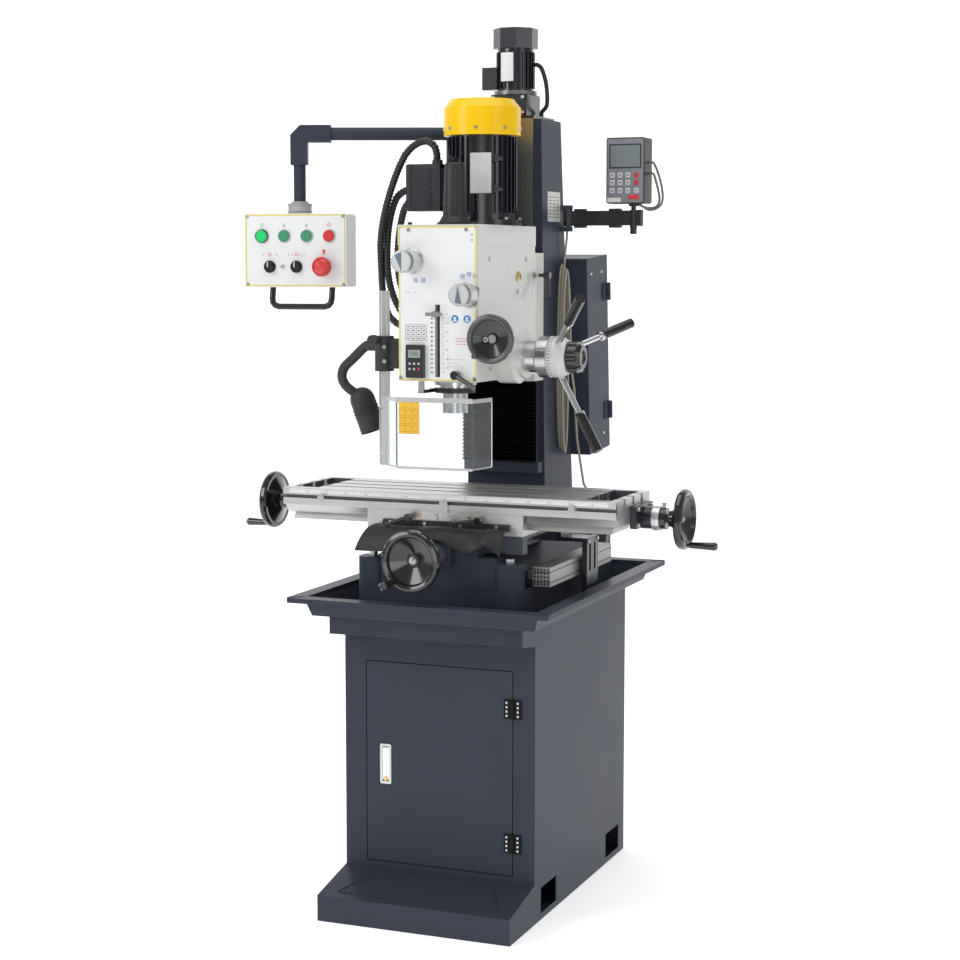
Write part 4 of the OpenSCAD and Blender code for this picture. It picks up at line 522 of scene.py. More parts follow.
tape = surface("tape_white", (0.80, 0.80, 0.78), rough=0.35, vary=0.03, zones=[
    dict(mark, tick=("x", 5, 0.10), z=(961.2, 967)), dict(mark, tick=("x", 50, 0.014), z=(956, 967))])
Piece().block((-392, -290.7, 956.2), (392, -289.95, 966.4)).done("ruled_tape", tape, "table", slot="white")
for k in range(-7, 8):
    write(f"tape_number_{k + 7}", str(abs(k) * 5), (k * 50 + 6, -290.75, 958.8), 4.6, ink, "table", 0.05)
oilers = Piece()
for x in (-62, 62):
    oilers.rod((x, -293.4, 918), (x, -290.8, 918), 4.2, 3.4)
oilers.done("saddle_oilers", brass, "saddle", slot="steel")
ends = Piece()
for s in (-1, 1):
    for y in (-175, -77):
        for z in (904, 940):
            ends.rod((s * 424.8, y, z), (s * 430, y, z), 4.6, 4.2)
ends.done("bearing_screws", steel, "table", 0.3, "steel")

# Handwheel centres: washer, nut, screw end and dial thumb screw

nuts = Piece()
for s in (-1, 1):
    nuts.rod((s * 505.6, *TABLE_SCREW), (s * 509, *TABLE_SCREW), 11, 10.4)
    nuts.rod((s * 508.6, *TABLE_SCREW), (s * 516, *TABLE_SCREW), 8, 8, 6)
    nuts.rod((s * 515, *TABLE_SCREW), (s * 519, *TABLE_SCREW), 4.6, 3.8)
nuts.done("table_wheel_nuts", steel, "table_handwheels", 0.5, "steel")
front = Piece()
front.rod((0, -464.8, CROSS_SCREW[1]), (0, -468, CROSS_SCREW[1]), 9, 8.4)
front.rod((0, -467.6, CROSS_SCREW[1]), (0, -474, CROSS_SCREW[1]), 7, 7, 6)
front.rod((0, -473, CROSS_SCREW[1]), (0, -477, CROSS_SCREW[1]), 4, 3.2)
front.done("front_wheel_nut", steel, "front_handwheel", 0.4, "steel")
small = Piece()
small.rod((136, -371, 1324), (136, -378, 1324), 6.4, 6.2, 6)
small.done("fine_wheel_nut", chrome, "fine_feed_wheel", 0.5, "steel")
socket = Piece().rod((136, -377.8, 1324), (136, -378.4, 1324), 2.4, 2.2)
socket.done("fine_wheel_socket", matte, "fine_feed_wheel", slot="black")
thumb = Piece()
thumb.rod((471, -126, 940), (471, -126, 949), 3.2, 3.2)
thumb.rod((471, -126, 948), (471, -126, 952), 4.8, 4.8)
thumb.done("dial_thumb_screw", steel, "table_handwheels", 0.4, "steel")

# Front plate: border, ruled depth scale, grid, discs, knob marks, faint and red lines

FACE = -326.0


def frame_of(piece, x0, x1, z0, z1, w, face, thick=0.5):
    for low, high in (((x0, z0), (x1, z0 + w)), ((x0, z1 - w), (x1, z1)),
                      ((x0, z0), (x0 + w, z1)), ((x1 - w, z0), (x1, z1))):
        piece.block((low[0], face - thick, low[1]), (high[0], face + 0.1, high[1]))
    return piece


frame_of(Piece(), -93.4, 93.4, 1228.6, 1571.4, 2.6, FACE).done("plate_border", yellow, "head", slot="amber")
rule = Piece()
rule.block((10, FACE - 0.3, 1236), (28, FACE + 0.1, 1398))
rule.done("depth_scale_ground", white, "head", slot="white")
ticks = Piece()
for k in range(0, 131, 5):
    wide = 8 if k % 10 == 0 else 5
    ticks.block((10, FACE - 0.45, 1377 - k - 0.35), (10 + wide, FACE - 0.2, 1377 - k + 0.35))
for k in range(0, 131, 10):
    ticks.block((-16, FACE - 0.45, 1377 - k - 1.6), (-11.6, FACE + 0.1, 1377 - k + 1.6))
    ticks.block((-8, FACE - 0.45, 1377 - k - 0.3), (-4, FACE + 0.1, 1377 - k + 0.3))
ticks.done("depth_scale_marks", ink, "head", slot="black", smooth=False)
for k in range(0, 13, 2):
    write(f"depth_number_{k}", str(k), (23.5, FACE - 0.4, 1377 - 10 * k), 6, ink, "head")
grid = Piece()
for k in range(5):
    grid.block((-78, FACE - 0.35, 1318 + 9 * k - 0.3), (-26, FACE + 0.1, 1318 + 9 * k + 0.3))
for k in range(5):
    grid.block((-78 + 13 * k - 0.3, FACE - 0.35, 1318), (-78 + 13 * k + 0.3, FACE + 0.1, 1354))
for k in range(4):
    for j in range(4):
        grid.block((-75 + 13 * k, FACE - 0.35, 1321 + 9 * j), (-69 + 13 * k, FACE + 0.1, 1323.2 + 9 * j))
grid.done("speed_grid", ink, "head", slot="black", smooth=False)
discs = Piece()
for x in (42.4, 71.3):
    discs.rod((x, FACE + 0.1, 1366.7), (x, FACE - 0.5, 1366.7), 8.6, 8.6)
discs.done("blue_discs", blue, "head", slot="navy")
glyph = Piece()
for x in (42.4, 71.3):
    glyph.rod((x, FACE - 0.4, 1368), (x, FACE - 0.8, 1368), 3.4, 3.4)
    glyph.block((x - 4.6, FACE - 0.8, 1361.2), (x + 4.6, FACE - 0.4, 1364.4))
glyph.done("disc_glyphs", white, "head", slot="white")
marks = Piece()
for x, z in ((-53, 1452), (-34, 1452), (61, 1461), (76, 1466), (91, 1462)):
    marks.block((x - 5.4, FACE - 0.35, z - 5), (x + 5.4, FACE + 0.1, z + 5))
marks.done("knob_marks", label_blue, "head", 0.1, "steel")
faint = Piece()
for x0, z0, x1, z1 in ((-80, 1531.6, -62, 1532.1), (-60, 1424.5, -50, 1425.5), (-76, 1424, -68, 1426),
                       (24, 1276, 64, 1277), (24, 1268, 50, 1269), (24, 1260, 66, 1260.6),
                       (80, 1538, 86, 1544), (80, 1550, 86, 1556)):
    faint.block((x0, FACE - 0.3, z0), (x1, FACE + 0.1, z1))
faint.done("plate_faint_lines", key_grey, "head", slot="steel", smooth=False)
lines = Piece()
for k, width in enumerate((36, 30, 34)):
    lines.block((60 - width / 2, FACE - 0.3, 1322 - 6 * k), (60 + width / 2, FACE + 0.1, 1323 - 6 * k))
lines.done("plate_red_lines", key_red, "head", slot="red", smooth=False)

# Depth readout

Piece().block((-67, -338.7, 1279), (-37, -337.9, 1297)).done("readout_screen", lcd, "head", 0.2, "matte")
write("readout_digits", "0.00", (-52, -338.75, 1288), 11, ink, "head")
keys = Piece()
for x, z in ((-63, 1266), (-52, 1266), (-41, 1266), (-63, 1254), (-52, 1254)):
    keys.rod((x, -337.9, z), (x, -339.6, z), 2.9, 2.6)
keys.done("readout_keys", key_grey, "head", slot="steel")
red = Piece().rod((-41, -337.9, 1254), (-41, -339.6, 1254), 2.9, 2.6)
red.done("readout_key_red", key_red, "head", slot="red")

# Speed knobs: skirts, light faces and grey wedges

KNOBS = (("left", -62, 1494, ((0, -21), (-16, 14), (-2, 20), (0, 20))),
         ("right", 76, 1421, ((-3, 21), (-10, -17), (4, -20), (6, -19))))
for side, cx, cz, wedge in KNOBS:
    turn = Matrix.Translation((cx, 0, cz))
    skirt = Piece(turn)
    skirt.lathe((0, -326.7, 0), (0, -1, 0), [(26.3, 0), (28.6, 0), (28.6, 4), (26.3, 6)])
    skirt.lathe((0, -383.4, 0), (0, -1, 0), [(22.6, 0), (24.8, 0), (24.8, 1.6), (22.6, 1.8)])
    skirt.done(f"knob_skirt_{side}", steel, f"speed_knob_{side}", 0.3, "steel")
    face = Piece(turn)
    face.rod((0, -383.6, 0), (0, -384.6, 0), 22.8, 22.8, 40)
    face.done(f"knob_face_{side}", knob_light, f"speed_knob_{side}", 0.2, "steel")
    mark_piece = Piece(turn)
    front_side = [mark_piece.mesh.verts.new((x, -385.2, z)) for x, z in wedge]
    back_side = [mark_piece.mesh.verts.new((x, -384.4, z)) for x, z in wedge]
    mark_piece.mesh.faces.new(front_side)
    mark_piece.mesh.faces.new(list(reversed(back_side)))
    for k in range(4):
        ahead = (k + 1) % 4
        mark_piece.mesh.faces.new((front_side[k], front_side[ahead], back_side[ahead], back_side[k]))
    mark_piece.done(f"knob_line_{side}", wedge_grey, f"speed_knob_{side}", slot="black", smooth=False)

# Head side: sight glass, plugs, screws, tilt scale

ring = Piece().lathe((96, -73.5, 1459), (1, 0, 0), [(7.2, 0), (12, 0), (12, 3), (9, 5), (7.2, 5)])
ring.done("sight_ring", brass, "head", slot="steel")
glass = Piece().rod((96, -73.5, 1459), (99.4, -73.5, 1459), 7.4, 7.2)
glass.done("sight_glass", screen, "head", slot="clear")
plugs = Piece()
for y, z in ((-73.5, 1424), (-252, 1500), (-20, 1500), (-252, 1252), (-20, 1252)):
    plugs.rod((96, y, z), (99.5, y, z), 5.6, 5.2)
plugs.done("head_plugs", steel, "head", 0.3, "steel")
scale = surface("tilt_scale", (0.70, 0.71, 0.72), metal=0.8, rough=0.3,
                zones=[dict(mark, tick=("z", 4, 0.14))])
Piece().block((95.6, 22, 1400), (96.6, 36, 1500)).done("tilt_scale", scale, "head", slot="steel")
cover_bolts = Piece()
for x in (-78, 78):
    for y in (-300, 18):
        cover_bolts.rod((x, y, 1575.8), (x, y, 1582), 5.5, 5.2)
cover_bolts.done("cover_bolts", matte, "head", 0.4, "black")

# Spindle motor: nameplate, foot bolts, cover screws, terminal box lid screws

to_camera = Matrix.Translation((0, MOTOR_Y, 0)) @ Matrix.Rotation(math.radians(8), 4, "Z")
plate = Piece(to_camera).block((-7, -88.6, 1650), (43, -87.4, 1742))
plate.done("motor_plate", plate_bright, "head", 0.3, "alu")
pad = Piece(to_camera).block((-4, -87.6, 1653), (40, -70, 1739))
pad.done("motor_plate_pad", navy, "head", 0.8, "navy")
lugs = Piece()
lug_bolts = Piece()
for a, z in ((-121, 1728), (-50, 1730), (-50, 1660)):
    out = Vector((math.cos(math.radians(a)), math.sin(math.radians(a)), 0))
    along = Vector((-out.y, out.x, 0))
    foot = Vector((0, MOTOR_Y, z)) + 74 * out
    lugs.rod(foot, foot + 22 * out, 11, 8.6, 24)
    lugs.rod(foot - 24 * along, foot + 24 * along, 8, 8, 12)
    lug_bolts.rod(foot + 21.6 * out, foot + 26 * out, 4.8, 4.6, 6)
lugs.done("motor_lugs", navy, "head", 0.8, "navy")
lug_bolts.done("motor_lug_bolts", matte, "head", 0.3, "black")
feet = Piece()
for k in range(6):
    a = math.radians(60 * k + 30)
    x, y = 88 * math.cos(a), MOTOR_Y + 88 * math.sin(a)
    feet.rod((x, y, 1589.8), (x, y, 1596), 5.5, 5.5, 6)
feet.done("motor_foot_bolts", steel, "head", 0.3, "steel")
cover_low, cover_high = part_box("fan_cover")
FAN_R = (cover_high[0] - cover_low[0]) / 2 / MM
rim_screws = Piece()
for k in range(8):
    a = math.radians(45 * k + 12)
    c, s = math.cos(a), math.sin(a)
    rim_screws.rod(((FAN_R - 0.2) * c, MOTOR_Y + (FAN_R - 0.2) * s, 1800),
                   ((FAN_R + 2.4) * c, MOTOR_Y + (FAN_R + 2.4) * s, 1800), 4.4, 3.6)
rim_screws.done("fan_cover_screws", steel, "head", slot="steel")
vents = Piece()
for k in range(24):
    a = math.radians(15 * k)
    turn = Matrix.Rotation(a, 4, "Z")
    vents.block((42 * math.cos(a) - 14, MOTOR_Y + 42 * math.sin(a) - 1.6, 1868.1),
                (42 * math.cos(a) + 14, MOTOR_Y + 42 * math.sin(a) + 1.6, 1868.7), turn)
vents.done("fan_vents", matte, "head", slot="black", smooth=False)
lid = Piece()
for y in (-94, -22):
    for z in (1617, 1715):
        lid.rod((-176, y, z), (-178.5, y, z), 3.4, 3.0)
lid.done("terminal_lid_screws", steel, "head", slot="steel")

# Lifting motor: plate and gearbox screws

Piece().block((-17, 103.4, 1924), (15, 105.4, 1992)).done("lift_motor_plate", alloy, "stand", 0.3, "alu")
gear_screws = Piece()
for x in (-38, 38):
    for z in (1850, 1886):
        gear_screws.rod((x, 106.4, z), (x, 102.8, z), 4.6, 4.2)
gear_screws.done("lift_gear_screws", steel, "stand", 0.3, "steel")

# Column: label plate and bracket screws

column_lean = Matrix.Translation((91.6, 182, 1626)) @ Matrix.Rotation(math.radians(-0.77), 4, "Y")
plate = Piece(column_lean).block((-0.5, -46, -36), (1.0, 42, 36))
plate.done("column_label", plate_bright, "stand", 0.3, "alu")
rows = Piece(column_lean)
for k in range(7):
    for j in range(3):
        rows.block((0.9, -38 + 26 * j, 22 - 8 * k), (1.2, -20 + 26 * j, 24 - 8 * k))
rows.done("column_label_rows", ink, "stand", slot="black", smooth=False)
bracket = Piece()
for y in (148, 200):
    for z in (1775, 1815):
        bracket.rod((-99, y, z), (-104, y, z), 5.5, 5.5, 6)
bracket.done("arm_bracket_bolts", steel, "stand", 0.3, "steel")

# Electrical box: lock barrel and mounting screws

lean = (Matrix.Translation((0, 305, 834)) @ Matrix.Rotation(math.atan(70 / 999), 4, "X")
        @ Matrix.Translation((0, 0, 178)))
lock = Piece(lean).rod((-124, 168.6, 245), (-124, 172, 245), 7, 6)
lock.done("electric_lock", steel, "electric_door", 0.4, "steel")
side_screws = Piece(lean)
for y in (30, 110):
    for z in (40, 450):
        side_screws.rod((150, y, z), (152.4, y, z), 4, 3.4)
side_screws.done("electric_side_screws", steel, "stand", slot="steel")

# Guard: top strip, hems and plain amber label

rail = Piece()
rail.block((-93, -348.6, 1180), (93, -347.2, 1191))
rail.block((-93, -348.6, 1029), (93, -347.2, 1035))
rail.done("guard_strips", alloy, "guard", 0.2, "alu")
label = Piece().block((-85.5, -347.9, 1109), (-35.8, -347.1, 1180))
label.done("guard_label", amber_label, "guard", slot="amber")
cells = Piece()
for k in range(4):
    x = -85.5 + 49.7 * k / 3
    cells.block((x - 0.35, -348.15, 1109), (x + 0.35, -347.8, 1180))
for j in range(5):
    z = 1109 + 71 * j / 4
    cells.block((-85.5, -348.15, z - 0.35), (-35.8, -347.8, z + 0.35))
for k in range(3):
    for j in range(4):
        x, z = -85.5 + 49.7 * (k + 0.5) / 3, 1109 + 71 * (j + 0.5) / 4
        cells.block((x - 4.6, -348.15, z - 4.6), (x + 4.6, -347.8, z - 3.6))
cells.done("guard_label_cells", surface("label_lines", (0.42, 0.22, 0.02), rough=0.5), "guard", slot="black",
           smooth=False)
clamp = Piece()
for z in (1267, 1300):
    clamp.rod((-150, -286, z), (-150, -280, z), 5.2, 5.2, 6)
clamp.done("bracket_bolts", steel, "head", 0.3, "steel")

# Work lamp: lens and rings

shade = Vector((0.37, -0.03, -0.93)).normalized()
dome = Vector((-243.5, -205, 1172.5))
Piece().rod(dome + 60 * shade, dome + 63 * shade, 25.7, 25.7).done("lamp_lens", lcd, "head", slot="clear")
ring = Piece()
for k in (20, 28, 36):
    ring.lathe(dome + k * shade, shade, [(28.9, 0), (30.6, 0.6), (30.6, 3.0), (28.9, 3.6)])
ring.done("lamp_rings", matte, "head", slot="matte")

# Routes of the three conduits, from the terminal box

GLAND_X = -84 - 92 - 0.3
conduit_steps = [
    [[74, -30, 125.3], [74, -30, 140], [73, -30, 150], [64, -30, 170], [36, -30, 178], [-8, -28, 148],
     [-54, -14, 62], [-88, 8, -34], [-102, 38, -120], [-100, 50, -196], [-70, 56, -252]],
    [[-0.3, 0, 66], [-12, 0, 66], [-24, 2, 64], [-50, 10, 46], [-72, 20, -10], [-84, 32, -84],
     [-84, 44, -150], [-68, 54, -206], [-40, 58, -234]],
    [[-0.3, 10, 40], [-10, 10, 40], [-18, 12, 37], [-34, 18, 16], [-50, 28, -36], [-60, 40, -100],
     [-58, 52, -156], [-42, 60, -196], [-16, 64, -214]]]
conduit_ends = [[66, 88], [68, 112], [70, 136]]


def smooth(route, n):
    out = []
    for i in range(len(route) - 1):
        a, b, c, d = (Vector(route[j]) for j in (max(i - 1, 0), i, i + 1, min(i + 2, len(route) - 1)))
        for k in range(n):
            t = k / n
            out.append(0.5 * (2 * b + (c - a) * t + (2 * a - 5 * b + 4 * c - d) * t * t
                              + (3 * b - a - 3 * c + d) * t ** 3))
    return out + [Vector(route[-1])]


def evenly(points, step):
    out, left = [points[0]], step
    for a, b in zip(points, points[1:]):
        span = (b - a).length
        at = left
        while at < span:
            out.append(a + (b - a) * at / span)
            at += step
        left = at - span
    return out + [points[-1]]


def cord(name, line, radii, sides, material, body, node, slot, stiffness, lay):
    piece = Piece().path(line, radii, sides).done(name, material, body)
    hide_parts(node)


def plain_cord(name, route, radius, *words):
    line = smooth(route, 4)
    cord(name, line, [radius] * len(line), 10, *words)


# Ribbed conduits from the terminal box to the head
for k in range(3):
    route = [[GLAND_X + p[0], MOTOR_Y + p[1], MOTOR_FOOT_Z + p[2]] for p in conduit_steps[k]]
    y, z = MOTOR_Y + conduit_ends[k][0], HEAD_Z + conduit_ends[k][1]
    route += [[-96 - d, y, z] for d in (26, 14, 0.6)]
    line = evenly(smooth(route, 3), 2.1)
    ribs = [9.0 if (i // 2) % 2 else 7.7 for i in range(len(line))]
    cord(f"ribbed_conduit_{k}", line, ribs, 14, conduit_black, "head", "motor_conduits", "rubber", "stiff",
         "loose")

# Encoder cable hanked beside the column
HANK = (101, 202, 1264)
route = [[105, 240, 1566.7], [105, 239, 1553], [103, 235, 1523], [101, 230, 1479]]
for k in range(3 * 24 + 1):
    turn = math.radians(15 * k)
    route.append([HANK[0] + 7.5 * k / 24, HANK[1] + 24 * math.cos(turn) - 3 * k / 24,
                  HANK[2] - 226 * math.sin(turn) - 6 * k / 24])
route += [[131, 224, 1180], [135, 236, 1054], [149, 248, 944], [187, 242, 884], [223, 222, 840],
          [227, 194.3, 796], [227, 170.3, 788]]
line = [Vector(p) for p in route]
cord("encoder_cable", line, [3] * len(line), 10, beige, "stand", "control_cables", "cable", "medium",
     "coiled")

# Cable of the lifting motor
plain_cord("lift_motor_cable", [[45.6, 164.7, 1966], [54, 164.7, 1966], [64, 166, 1957], [72, 172, 1929],
           [73, 182, 1895], [70, 186, 1869], [58, 186, 1855], [57, 186, 1847], [57, 186, 1841.5]], 5.2,
           conduit_black, "stand", "control_cables", "cable", "stiff", "loose")

# Leads of the position display
for k in range(2):
    plain_cord(f"display_lead_{k}", [[312.4, 250, 1731 - 26 * k], [322, 250, 1731 - 26 * k],
               [332 - 4 * k, 251, 1711 - 22 * k], [342 - 7 * k, 254, 1675 - 16 * k],
               [344 - 8 * k, 256, 1641 - 3 * k], [332 - 6 * k, 256, 1623 + 2 * k],
               [310 - 4 * k, 253 - 5 * k, 1618.5 + 5 * k],
               [293, 244 - 8 * k, 1629.6], [288.6, 243.4 - 7 * k, 1629.6]], 2.8,
               lead_grey, "dro_display", "display_leads", "cable", "medium", "hanging")

# Rubber apron, clamped under its strip and draped over the front of the ways
def apron_point(x, s):
    arch = 30 * math.exp(-((x - 122) / 26) ** 2) + 34 * math.exp(-(x / 56) ** 2)
    return Vector((x + 6 * s - (0.22 * abs(x) * s if x < 0 else 0), -291 - (8 + 62 * s ** 0.8 if s else 5),
                   896 - 54 * s ** 2.2 + arch * s ** 1.3))


across, down = 40, 8
apron = Piece()
top, low = ([[apron.mesh.verts.new(apron_point(-162 + 320 * i / across, j / down) - Vector((0, 0, drop)))
              for j in range(down + 1)] for i in range(across + 1)] for drop in (0, 3))
for i in range(across):
    for j in range(down):
        for side in (top, low):
            apron.mesh.faces.new((side[i][j], side[i + 1][j], side[i + 1][j + 1], side[i][j + 1]))
    for j in (0, down):
        apron.mesh.faces.new((top[i][j], top[i + 1][j], low[i + 1][j], low[i][j]))
for j in range(down):
    for i in (0, across):
        apron.mesh.faces.new((top[i][j], top[i][j + 1], low[i][j + 1], low[i][j]))
cloth = apron.done("apron_sheet", apron_rubber, "saddle", slot="rubber")
strip = Piece().block((-150, -299, 891), (161, -291.3, 906))
strip = strip.done("apron_strip", matte, "saddle", 0.5, "rubber")
screws = Piece()
for x in (-130, -44, 44, 132):
    screws.rod((x, -299, 900), (x, -302, 900), 4, 4)
screws.done("apron_screws", steel, "saddle", 0.3, "steel")
for piece in (cloth, strip):
    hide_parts("way_apron")
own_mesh(cloth)

# Bellows: the CAD folds copied to a mesh of their own, in place of the CAD piece
folds = bpy.data.objects.new("bellows_folds", frame["nodes"]["way_bellows"].data.copy())
bpy.context.scene.collection.objects.link(folds)
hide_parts("way_bellows")
foot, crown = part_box("way_bellows")
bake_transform(folds)

# Glands at both ends of the conduits
glands = Piece()
glands.rod((-101, -88, 1721.2), (-101, -88, 1731), 13, 12, 6)
for z, y in ((MOTOR_FOOT_Z + 66, MOTOR_Y), (MOTOR_FOOT_Z + 40, MOTOR_Y + 10)):
    glands.rod((-176.2, y, z), (-187, y, z), 13, 12, 6)
for k in range(3):
    y, z = MOTOR_Y + conduit_ends[k][0], HEAD_Z + conduit_ends[k][1]
    glands.rod((-96.2, y, z), (-107, y, z), 12.5, 11.5, 6)
glands.done("conduit_glands", matte, "head", 0.6, "matte")

# Control panel: border, bezels, marks, screws

joints = {row["name"]: row for row in frame["record"]["behaviour"]["joints"]}
elbow_x, elbow_y, _ = joints["control_box_swing"]["pos_m"]
press_x, press_y, _ = joints["start_button_press"]["axis"]
panel = (Matrix.Translation((elbow_x / MM, elbow_y / MM, 1611))
         @ Matrix.Rotation(math.atan2(-press_x, press_y), 4, "Z"))
PANEL_FACE = -40.0
ROW_1, ROW_2 = -55, -130
BUTTONS = (-86, -28, 30, 88)
SELECTORS = (("left", -66), ("right", 3))
LAMP_X, STOP_X = -33, 76
edge = Piece(panel)
frame_of(edge, -129, 129, -177.5, -2.5, 2.8, PANEL_FACE)
edge.done("panel_border", yellow, "control_box", slot="amber")
first = Piece(panel)
first.lathe((BUTTONS[0], PANEL_FACE, ROW_1), (0, -1, 0),
            [(14.3, -0.2), (17.2, -0.2), (16.6, 4.4), (14.3, 5.2)])
first.done("start_bezel", gloss, "control_box", slot="black")
bezels = Piece(panel)
for x in BUTTONS[1:]:
    bezels.lathe((x, PANEL_FACE, ROW_1), (0, -1, 0), [(14.3, -0.2), (15.9, -0.2), (15.4, 3.4), (14.3, 3.8)])
bezels.done("button_bezels", surface("ring_grey", (0.42, 0.43, 0.43), metal=0.4, rough=0.35), "control_box",
            slot="steel")
skirts = Piece(panel)
for _, x in SELECTORS:
    skirts.lathe((x, PANEL_FACE, ROW_2), (0, -1, 0), [(14.3, -0.2), (15.6, -0.2), (15.0, 2.4), (14.3, 2.8)])
skirts.lathe((STOP_X, PANEL_FACE, ROW_2), (0, -1, 0), [(11.6, -0.2), (16.5, -0.2), (15.5, 3), (11.6, 4)])
skirts.done("selector_skirts", gloss, "control_box", slot="black")
collar = Piece(panel)
collar.lathe((0, 0, 0.6), (0, 0, 1), [(29.4, 0), (31.5, 0), (31.5, 3.4), (29.4, 3.4)])
collar.lathe((0, 0, 19.5), (0, 0, 1), [(29.4, 0), (30.6, 0.5), (30.6, 4.5), (29.4, 5)])
collar.done("panel_collar", surface("collar_grey", (0.36, 0.37, 0.37), rough=0.4), "control_box",
            slot="steel")
pilot = Piece(panel)
pilot.lathe((LAMP_X, PANEL_FACE, ROW_2), (0, -1, 0), [(4.6, -0.2), (6.0, -0.2), (5.6, 2.4), (4.6, 3)])
pilot.rod((LAMP_X, PANEL_FACE - 3.6, ROW_2), (LAMP_X, PANEL_FACE - 5.2, ROW_2), 3.8, 2.6)
pilot.done("pilot_lens", steel, "control_box", slot="steel")
signs = Piece(panel)
for x in BUTTONS[1:3]:
    signs.rod((x, PANEL_FACE + 0.1, -26.6), (x, PANEL_FACE - 0.3, -26.6), 2.2, 2.2)
    signs.block((x - 3.4, PANEL_FACE - 0.3, -33), (x + 3.4, PANEL_FACE + 0.1, -29.4))
for (_, middle), steps in zip(SELECTORS, ((-18, 18), (-20, -10, 10, 20))):
    for x in [middle + step for step in steps]:
        signs.block((x - 2.6, PANEL_FACE - 0.3, -103), (x + 2.6, PANEL_FACE + 0.1, -101.6))
        signs.block((x - 0.8, PANEL_FACE - 0.3, -103), (x + 0.8, PANEL_FACE + 0.1, -96))
signs.done("panel_signs", key_grey, "control_box", slot="steel", smooth=False)
red_signs = Piece(panel)
for x, z in ((BUTTONS[3], -27), (SELECTORS[0][1], -100), (SELECTORS[1][1], -99.5)):
    red_signs.lathe((x, PANEL_FACE, z), (0, -1, 0), [(3.1, -0.1), (4.4, -0.1), (4.4, 0.3), (3.1, 0.3)])
red_signs.rod((STOP_X - 2, PANEL_FACE + 0.1, -92), (STOP_X - 2, PANEL_FACE - 0.3, -92), 4.6, 4.6, 5)
red_signs.block((STOP_X - 6.6, PANEL_FACE - 0.3, -99), (STOP_X + 2.6, PANEL_FACE + 0.1, -97))
red_signs.done("panel_red_signs", key_red, "control_box", slot="red")
green_sign = Piece(panel)
green_sign.lathe((BUTTONS[0], PANEL_FACE, -27), (0, -1, 0),
                 [(2.8, -0.1), (3.8, -0.1), (3.8, 0.3), (2.8, 0.3)])
green_sign.done("panel_green_sign", surface("sign_green", (0.10, 0.45, 0.16), rough=0.45), "control_box",
                slot="green")
panel_screws = Piece(panel)
for x in (-124, 124):
    for z in (-173, -7):
        panel_screws.rod((x, PANEL_FACE + 0.1, z), (x, PANEL_FACE - 2.0, z), 4.6, 3.4)
panel_screws.done("panel_screws", steel, "control_box", slot="steel")
for side, x in SELECTORS:
    turn = panel @ Matrix.Translation((x, 0, ROW_2))
    pointer = Piece(turn).block((-1.2, -58.6, -1), (1.2, -57.8, 12.4))
    pointer.done(f"selector_line_{side}", white, f"selector_{side}", slot="white")
cap_rim = Piece(panel)
cap_rim.lathe((STOP_X, -60, ROW_2), (0, -1, 0),
              [(20.0, 0.6), (24.3, 1.4), (24.3, 6.6), (22.0, 9.6), (20, 9.6)])
cap_rim.done("mushroom_rim", surface("mushroom_rim_red", RED, rough=0.25, coat=0.4), "emergency_button",
             slot="red")

# Position display: screen, keys and key marks

show_low, show_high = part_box("dro_display")
SHOW, LEFT, TOP = show_low[1] / MM, show_low[0] / MM, show_high[2] / MM
ARM_END = LEFT + 80


def on_show(x0, x1, down0, down1, proud):
    return (LEFT + x0, SHOW - proud, TOP - down1), (LEFT + x1, SHOW + 0.2, TOP - down0)


Piece().block(*on_show(2.5, 93.5, 3, 155.5, 0.6)).done("display_face", show_grey, "dro_display", 2.0, "steel")
Piece().block(*on_show(7, 88.5, 15.5, 74, 1.0)).done("display_edge", matte, "dro_display", 0.8, "matte")
Piece().block(*on_show(10.5, 85, 19, 70.5, 1.3)).done("display_screen", screen, "dro_display", 0.3, "matte")
pads = Piece()
reds = Piece()
for j, down in enumerate((90, 107.7, 127)):
    for k, x in enumerate((15.4, 35, 54.6, 76.3)):
        low, high = on_show(x - 5.8, x + 5.8, down - 6.2, down + 6.2, 1.8)
        (reds if k == 3 and j < 2 else pads).block(low, high)
reds.block(*on_show(56, 84, 137.4, 148, 1.8))
pads.done("display_keys", key_white, "dro_display", 1.4, "steel")
reds.done("display_keys_red", key_red, "dro_display", 1.6, "red")
key_marks = Piece()
for j, down in enumerate((90, 107.7, 127)):
    for k, x in enumerate((15.4, 35, 54.6, 76.3)):
        key_marks.block(*on_show(x - 2.2, x + 2.2, down - 1.6, down + 1.6, 2.1))
key_marks.done("display_key_marks", ink, "dro_display", slot="black", smooth=False)
Piece().block(*on_show(3, 37, 144, 154.6, 1.0)).done("display_tag", tape_plain, "dro_display", 0.3, "white")
clips = Piece()
for x in (140, 230):
    clips.block((x - 14, 229, 1616.6), (x + 14, 251, 1622))
    clips.block((x - 14, 229, 1575.6), (x + 14, 251, 1581.4))
    clips.block((x - 11, 228.4, 1576), (x + 11, 232.6, 1580.6))
clips.block((ARM_END - 7, 229, 1579.4), (ARM_END + 1.6, 251, 1618.6))
clips.rod((ARM_END - 20, 240, 1560), (ARM_END - 20, 240, 1576), 8.4, 8.4, 6)
clips.done("display_arm_clips", matte, "dro_arm", 1.0, "black")

# Encoder: perforated end and screws

holes = Piece()
for j in range(5):
    for k in range(5):
        holes.rod((211 + 8 * k, -265.1, 771 + 8.4 * j), (211 + 8 * k, -266, 771 + 8.4 * j), 2.6, 2.6, 12)
holes.done("encoder_end_holes", matte, "stand", slot="matte")
reader = Piece()
for y, z in ((-62, 845), (2, 845), (-62, 712), (2, 712)):
    reader.rod((268, y, z), (271.6, y, z), 4.6, 4.6, 6)
reader.done("reader_screws", steel, "saddle", 0.3, "steel")


# Floor, backdrop and light

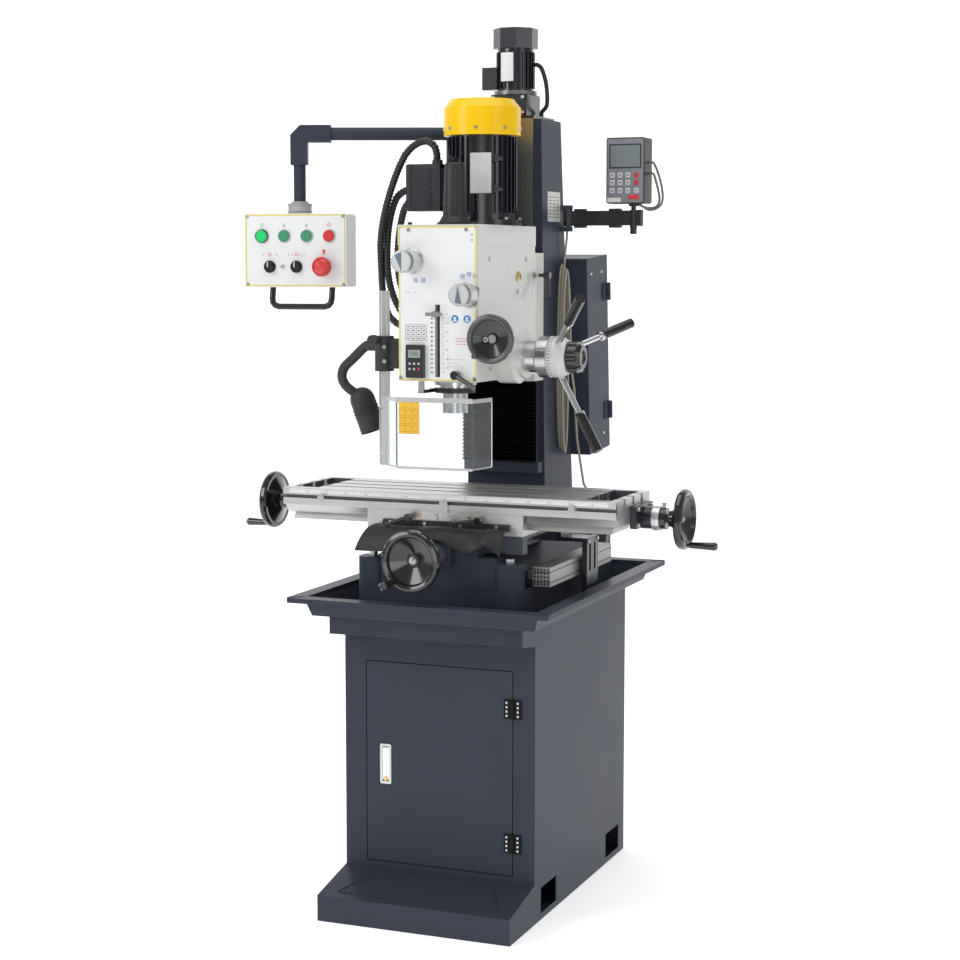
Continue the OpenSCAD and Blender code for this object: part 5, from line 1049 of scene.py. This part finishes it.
def clear_from_behind(material):
    tree = material.node_tree
    blend = tree.nodes.new("ShaderNodeMixShader")
    clear = tree.nodes.new("ShaderNodeBsdfTransparent")
    geometry = tree.nodes.new("ShaderNodeNewGeometry")
    tree.links.new(geometry.outputs["Backfacing"], blend.inputs[0])
    tree.links.new(tree.nodes["Principled BSDF"].outputs[0], blend.inputs[1])
    tree.links.new(clear.outputs[0], blend.inputs[2])
    tree.links.new(blend.outputs[0], tree.nodes["Material Output"].inputs["Surface"])
    return material


def backdrop():
    data = bpy.data.meshes.new("backdrop")
    mesh = bmesh.new()
    floor_end, bend = 3.2, 1.6
    turns = [math.radians(a) for a in range(10, 91, 10)]
    profile = [(-9.0, 0.0), (floor_end, 0.0)]
    profile += [(floor_end + bend * math.sin(a), bend - bend * math.cos(a)) for a in turns]
    profile += [(floor_end + bend, 7.0)]
    rows = [[mesh.verts.new((x, y, z)) for y, z in profile] for x in (-9.0, 9.0)]
    for k in range(len(profile) - 1):
        mesh.faces.new((rows[0][k], rows[1][k], rows[1][k + 1], rows[0][k + 1]))
    mesh.to_mesh(data)
    mesh.free()
    obj = bpy.data.objects.new("backdrop", data)
    for f in data.polygons:
        f.use_smooth = True
    obj.rotation_euler = (0, 0, math.radians(CAMERA_TURN))
    bpy.context.scene.collection.objects.link(obj)
    white = surface("studio_white", (0.93, 0.93, 0.935), rough=0.75, vary=0.004, scale=2, bump=0.0, glow=0.55)
    data.materials.append(clear_from_behind(white))


def light(name, at, target, size, power, colour=(1, 1, 1)):
    data = bpy.data.lights.new(name, "AREA")
    data.shape = "RECTANGLE"
    data.size, data.size_y = size
    data.energy = power
    data.color = colour
    obj = bpy.data.objects.new(name, data)
    obj.location = at
    obj.rotation_euler = (Vector(target) - Vector(at)).to_track_quat("-Z", "Y").to_euler()
    bpy.context.scene.collection.objects.link(obj)


backdrop()
light("key", (-2.6, -3.2, 3.0), (0, 0, 1.1), (1.8, 2.2), 58)
light("side", (3.4, -1.4, 2.0), (0, 0, 1.1), (1.4, 2.4), 13)
light("top", (0.0, -0.4, 4.2), (0, 0, 1.0), (3.0, 3.0), 50)
light("front", (1.6, -4.6, 1.2), (0, 0, 0.9), (1.6, 1.6), 18)

world = bpy.data.worlds.new("studio")
bpy.context.scene.world = world
world.use_nodes = True
sky = world.node_tree.nodes["Background"].inputs
sky["Color"].default_value = (1.0, 1.0, 1.0, 1.0)
path = world.node_tree.nodes.new("ShaderNodeLightPath")
seen = world.node_tree.nodes.new("ShaderNodeMath")
seen.operation = "MULTIPLY_ADD"
seen.inputs[1].default_value = 0.66
seen.inputs[2].default_value = 0.34
world.node_tree.links.new(path.outputs["Is Camera Ray"], seen.inputs[0])
world.node_tree.links.new(seen.outputs[0], sky["Strength"])
bpy.context.scene.view_settings.view_transform = "Standard"
bpy.context.scene.view_settings.look = "None"
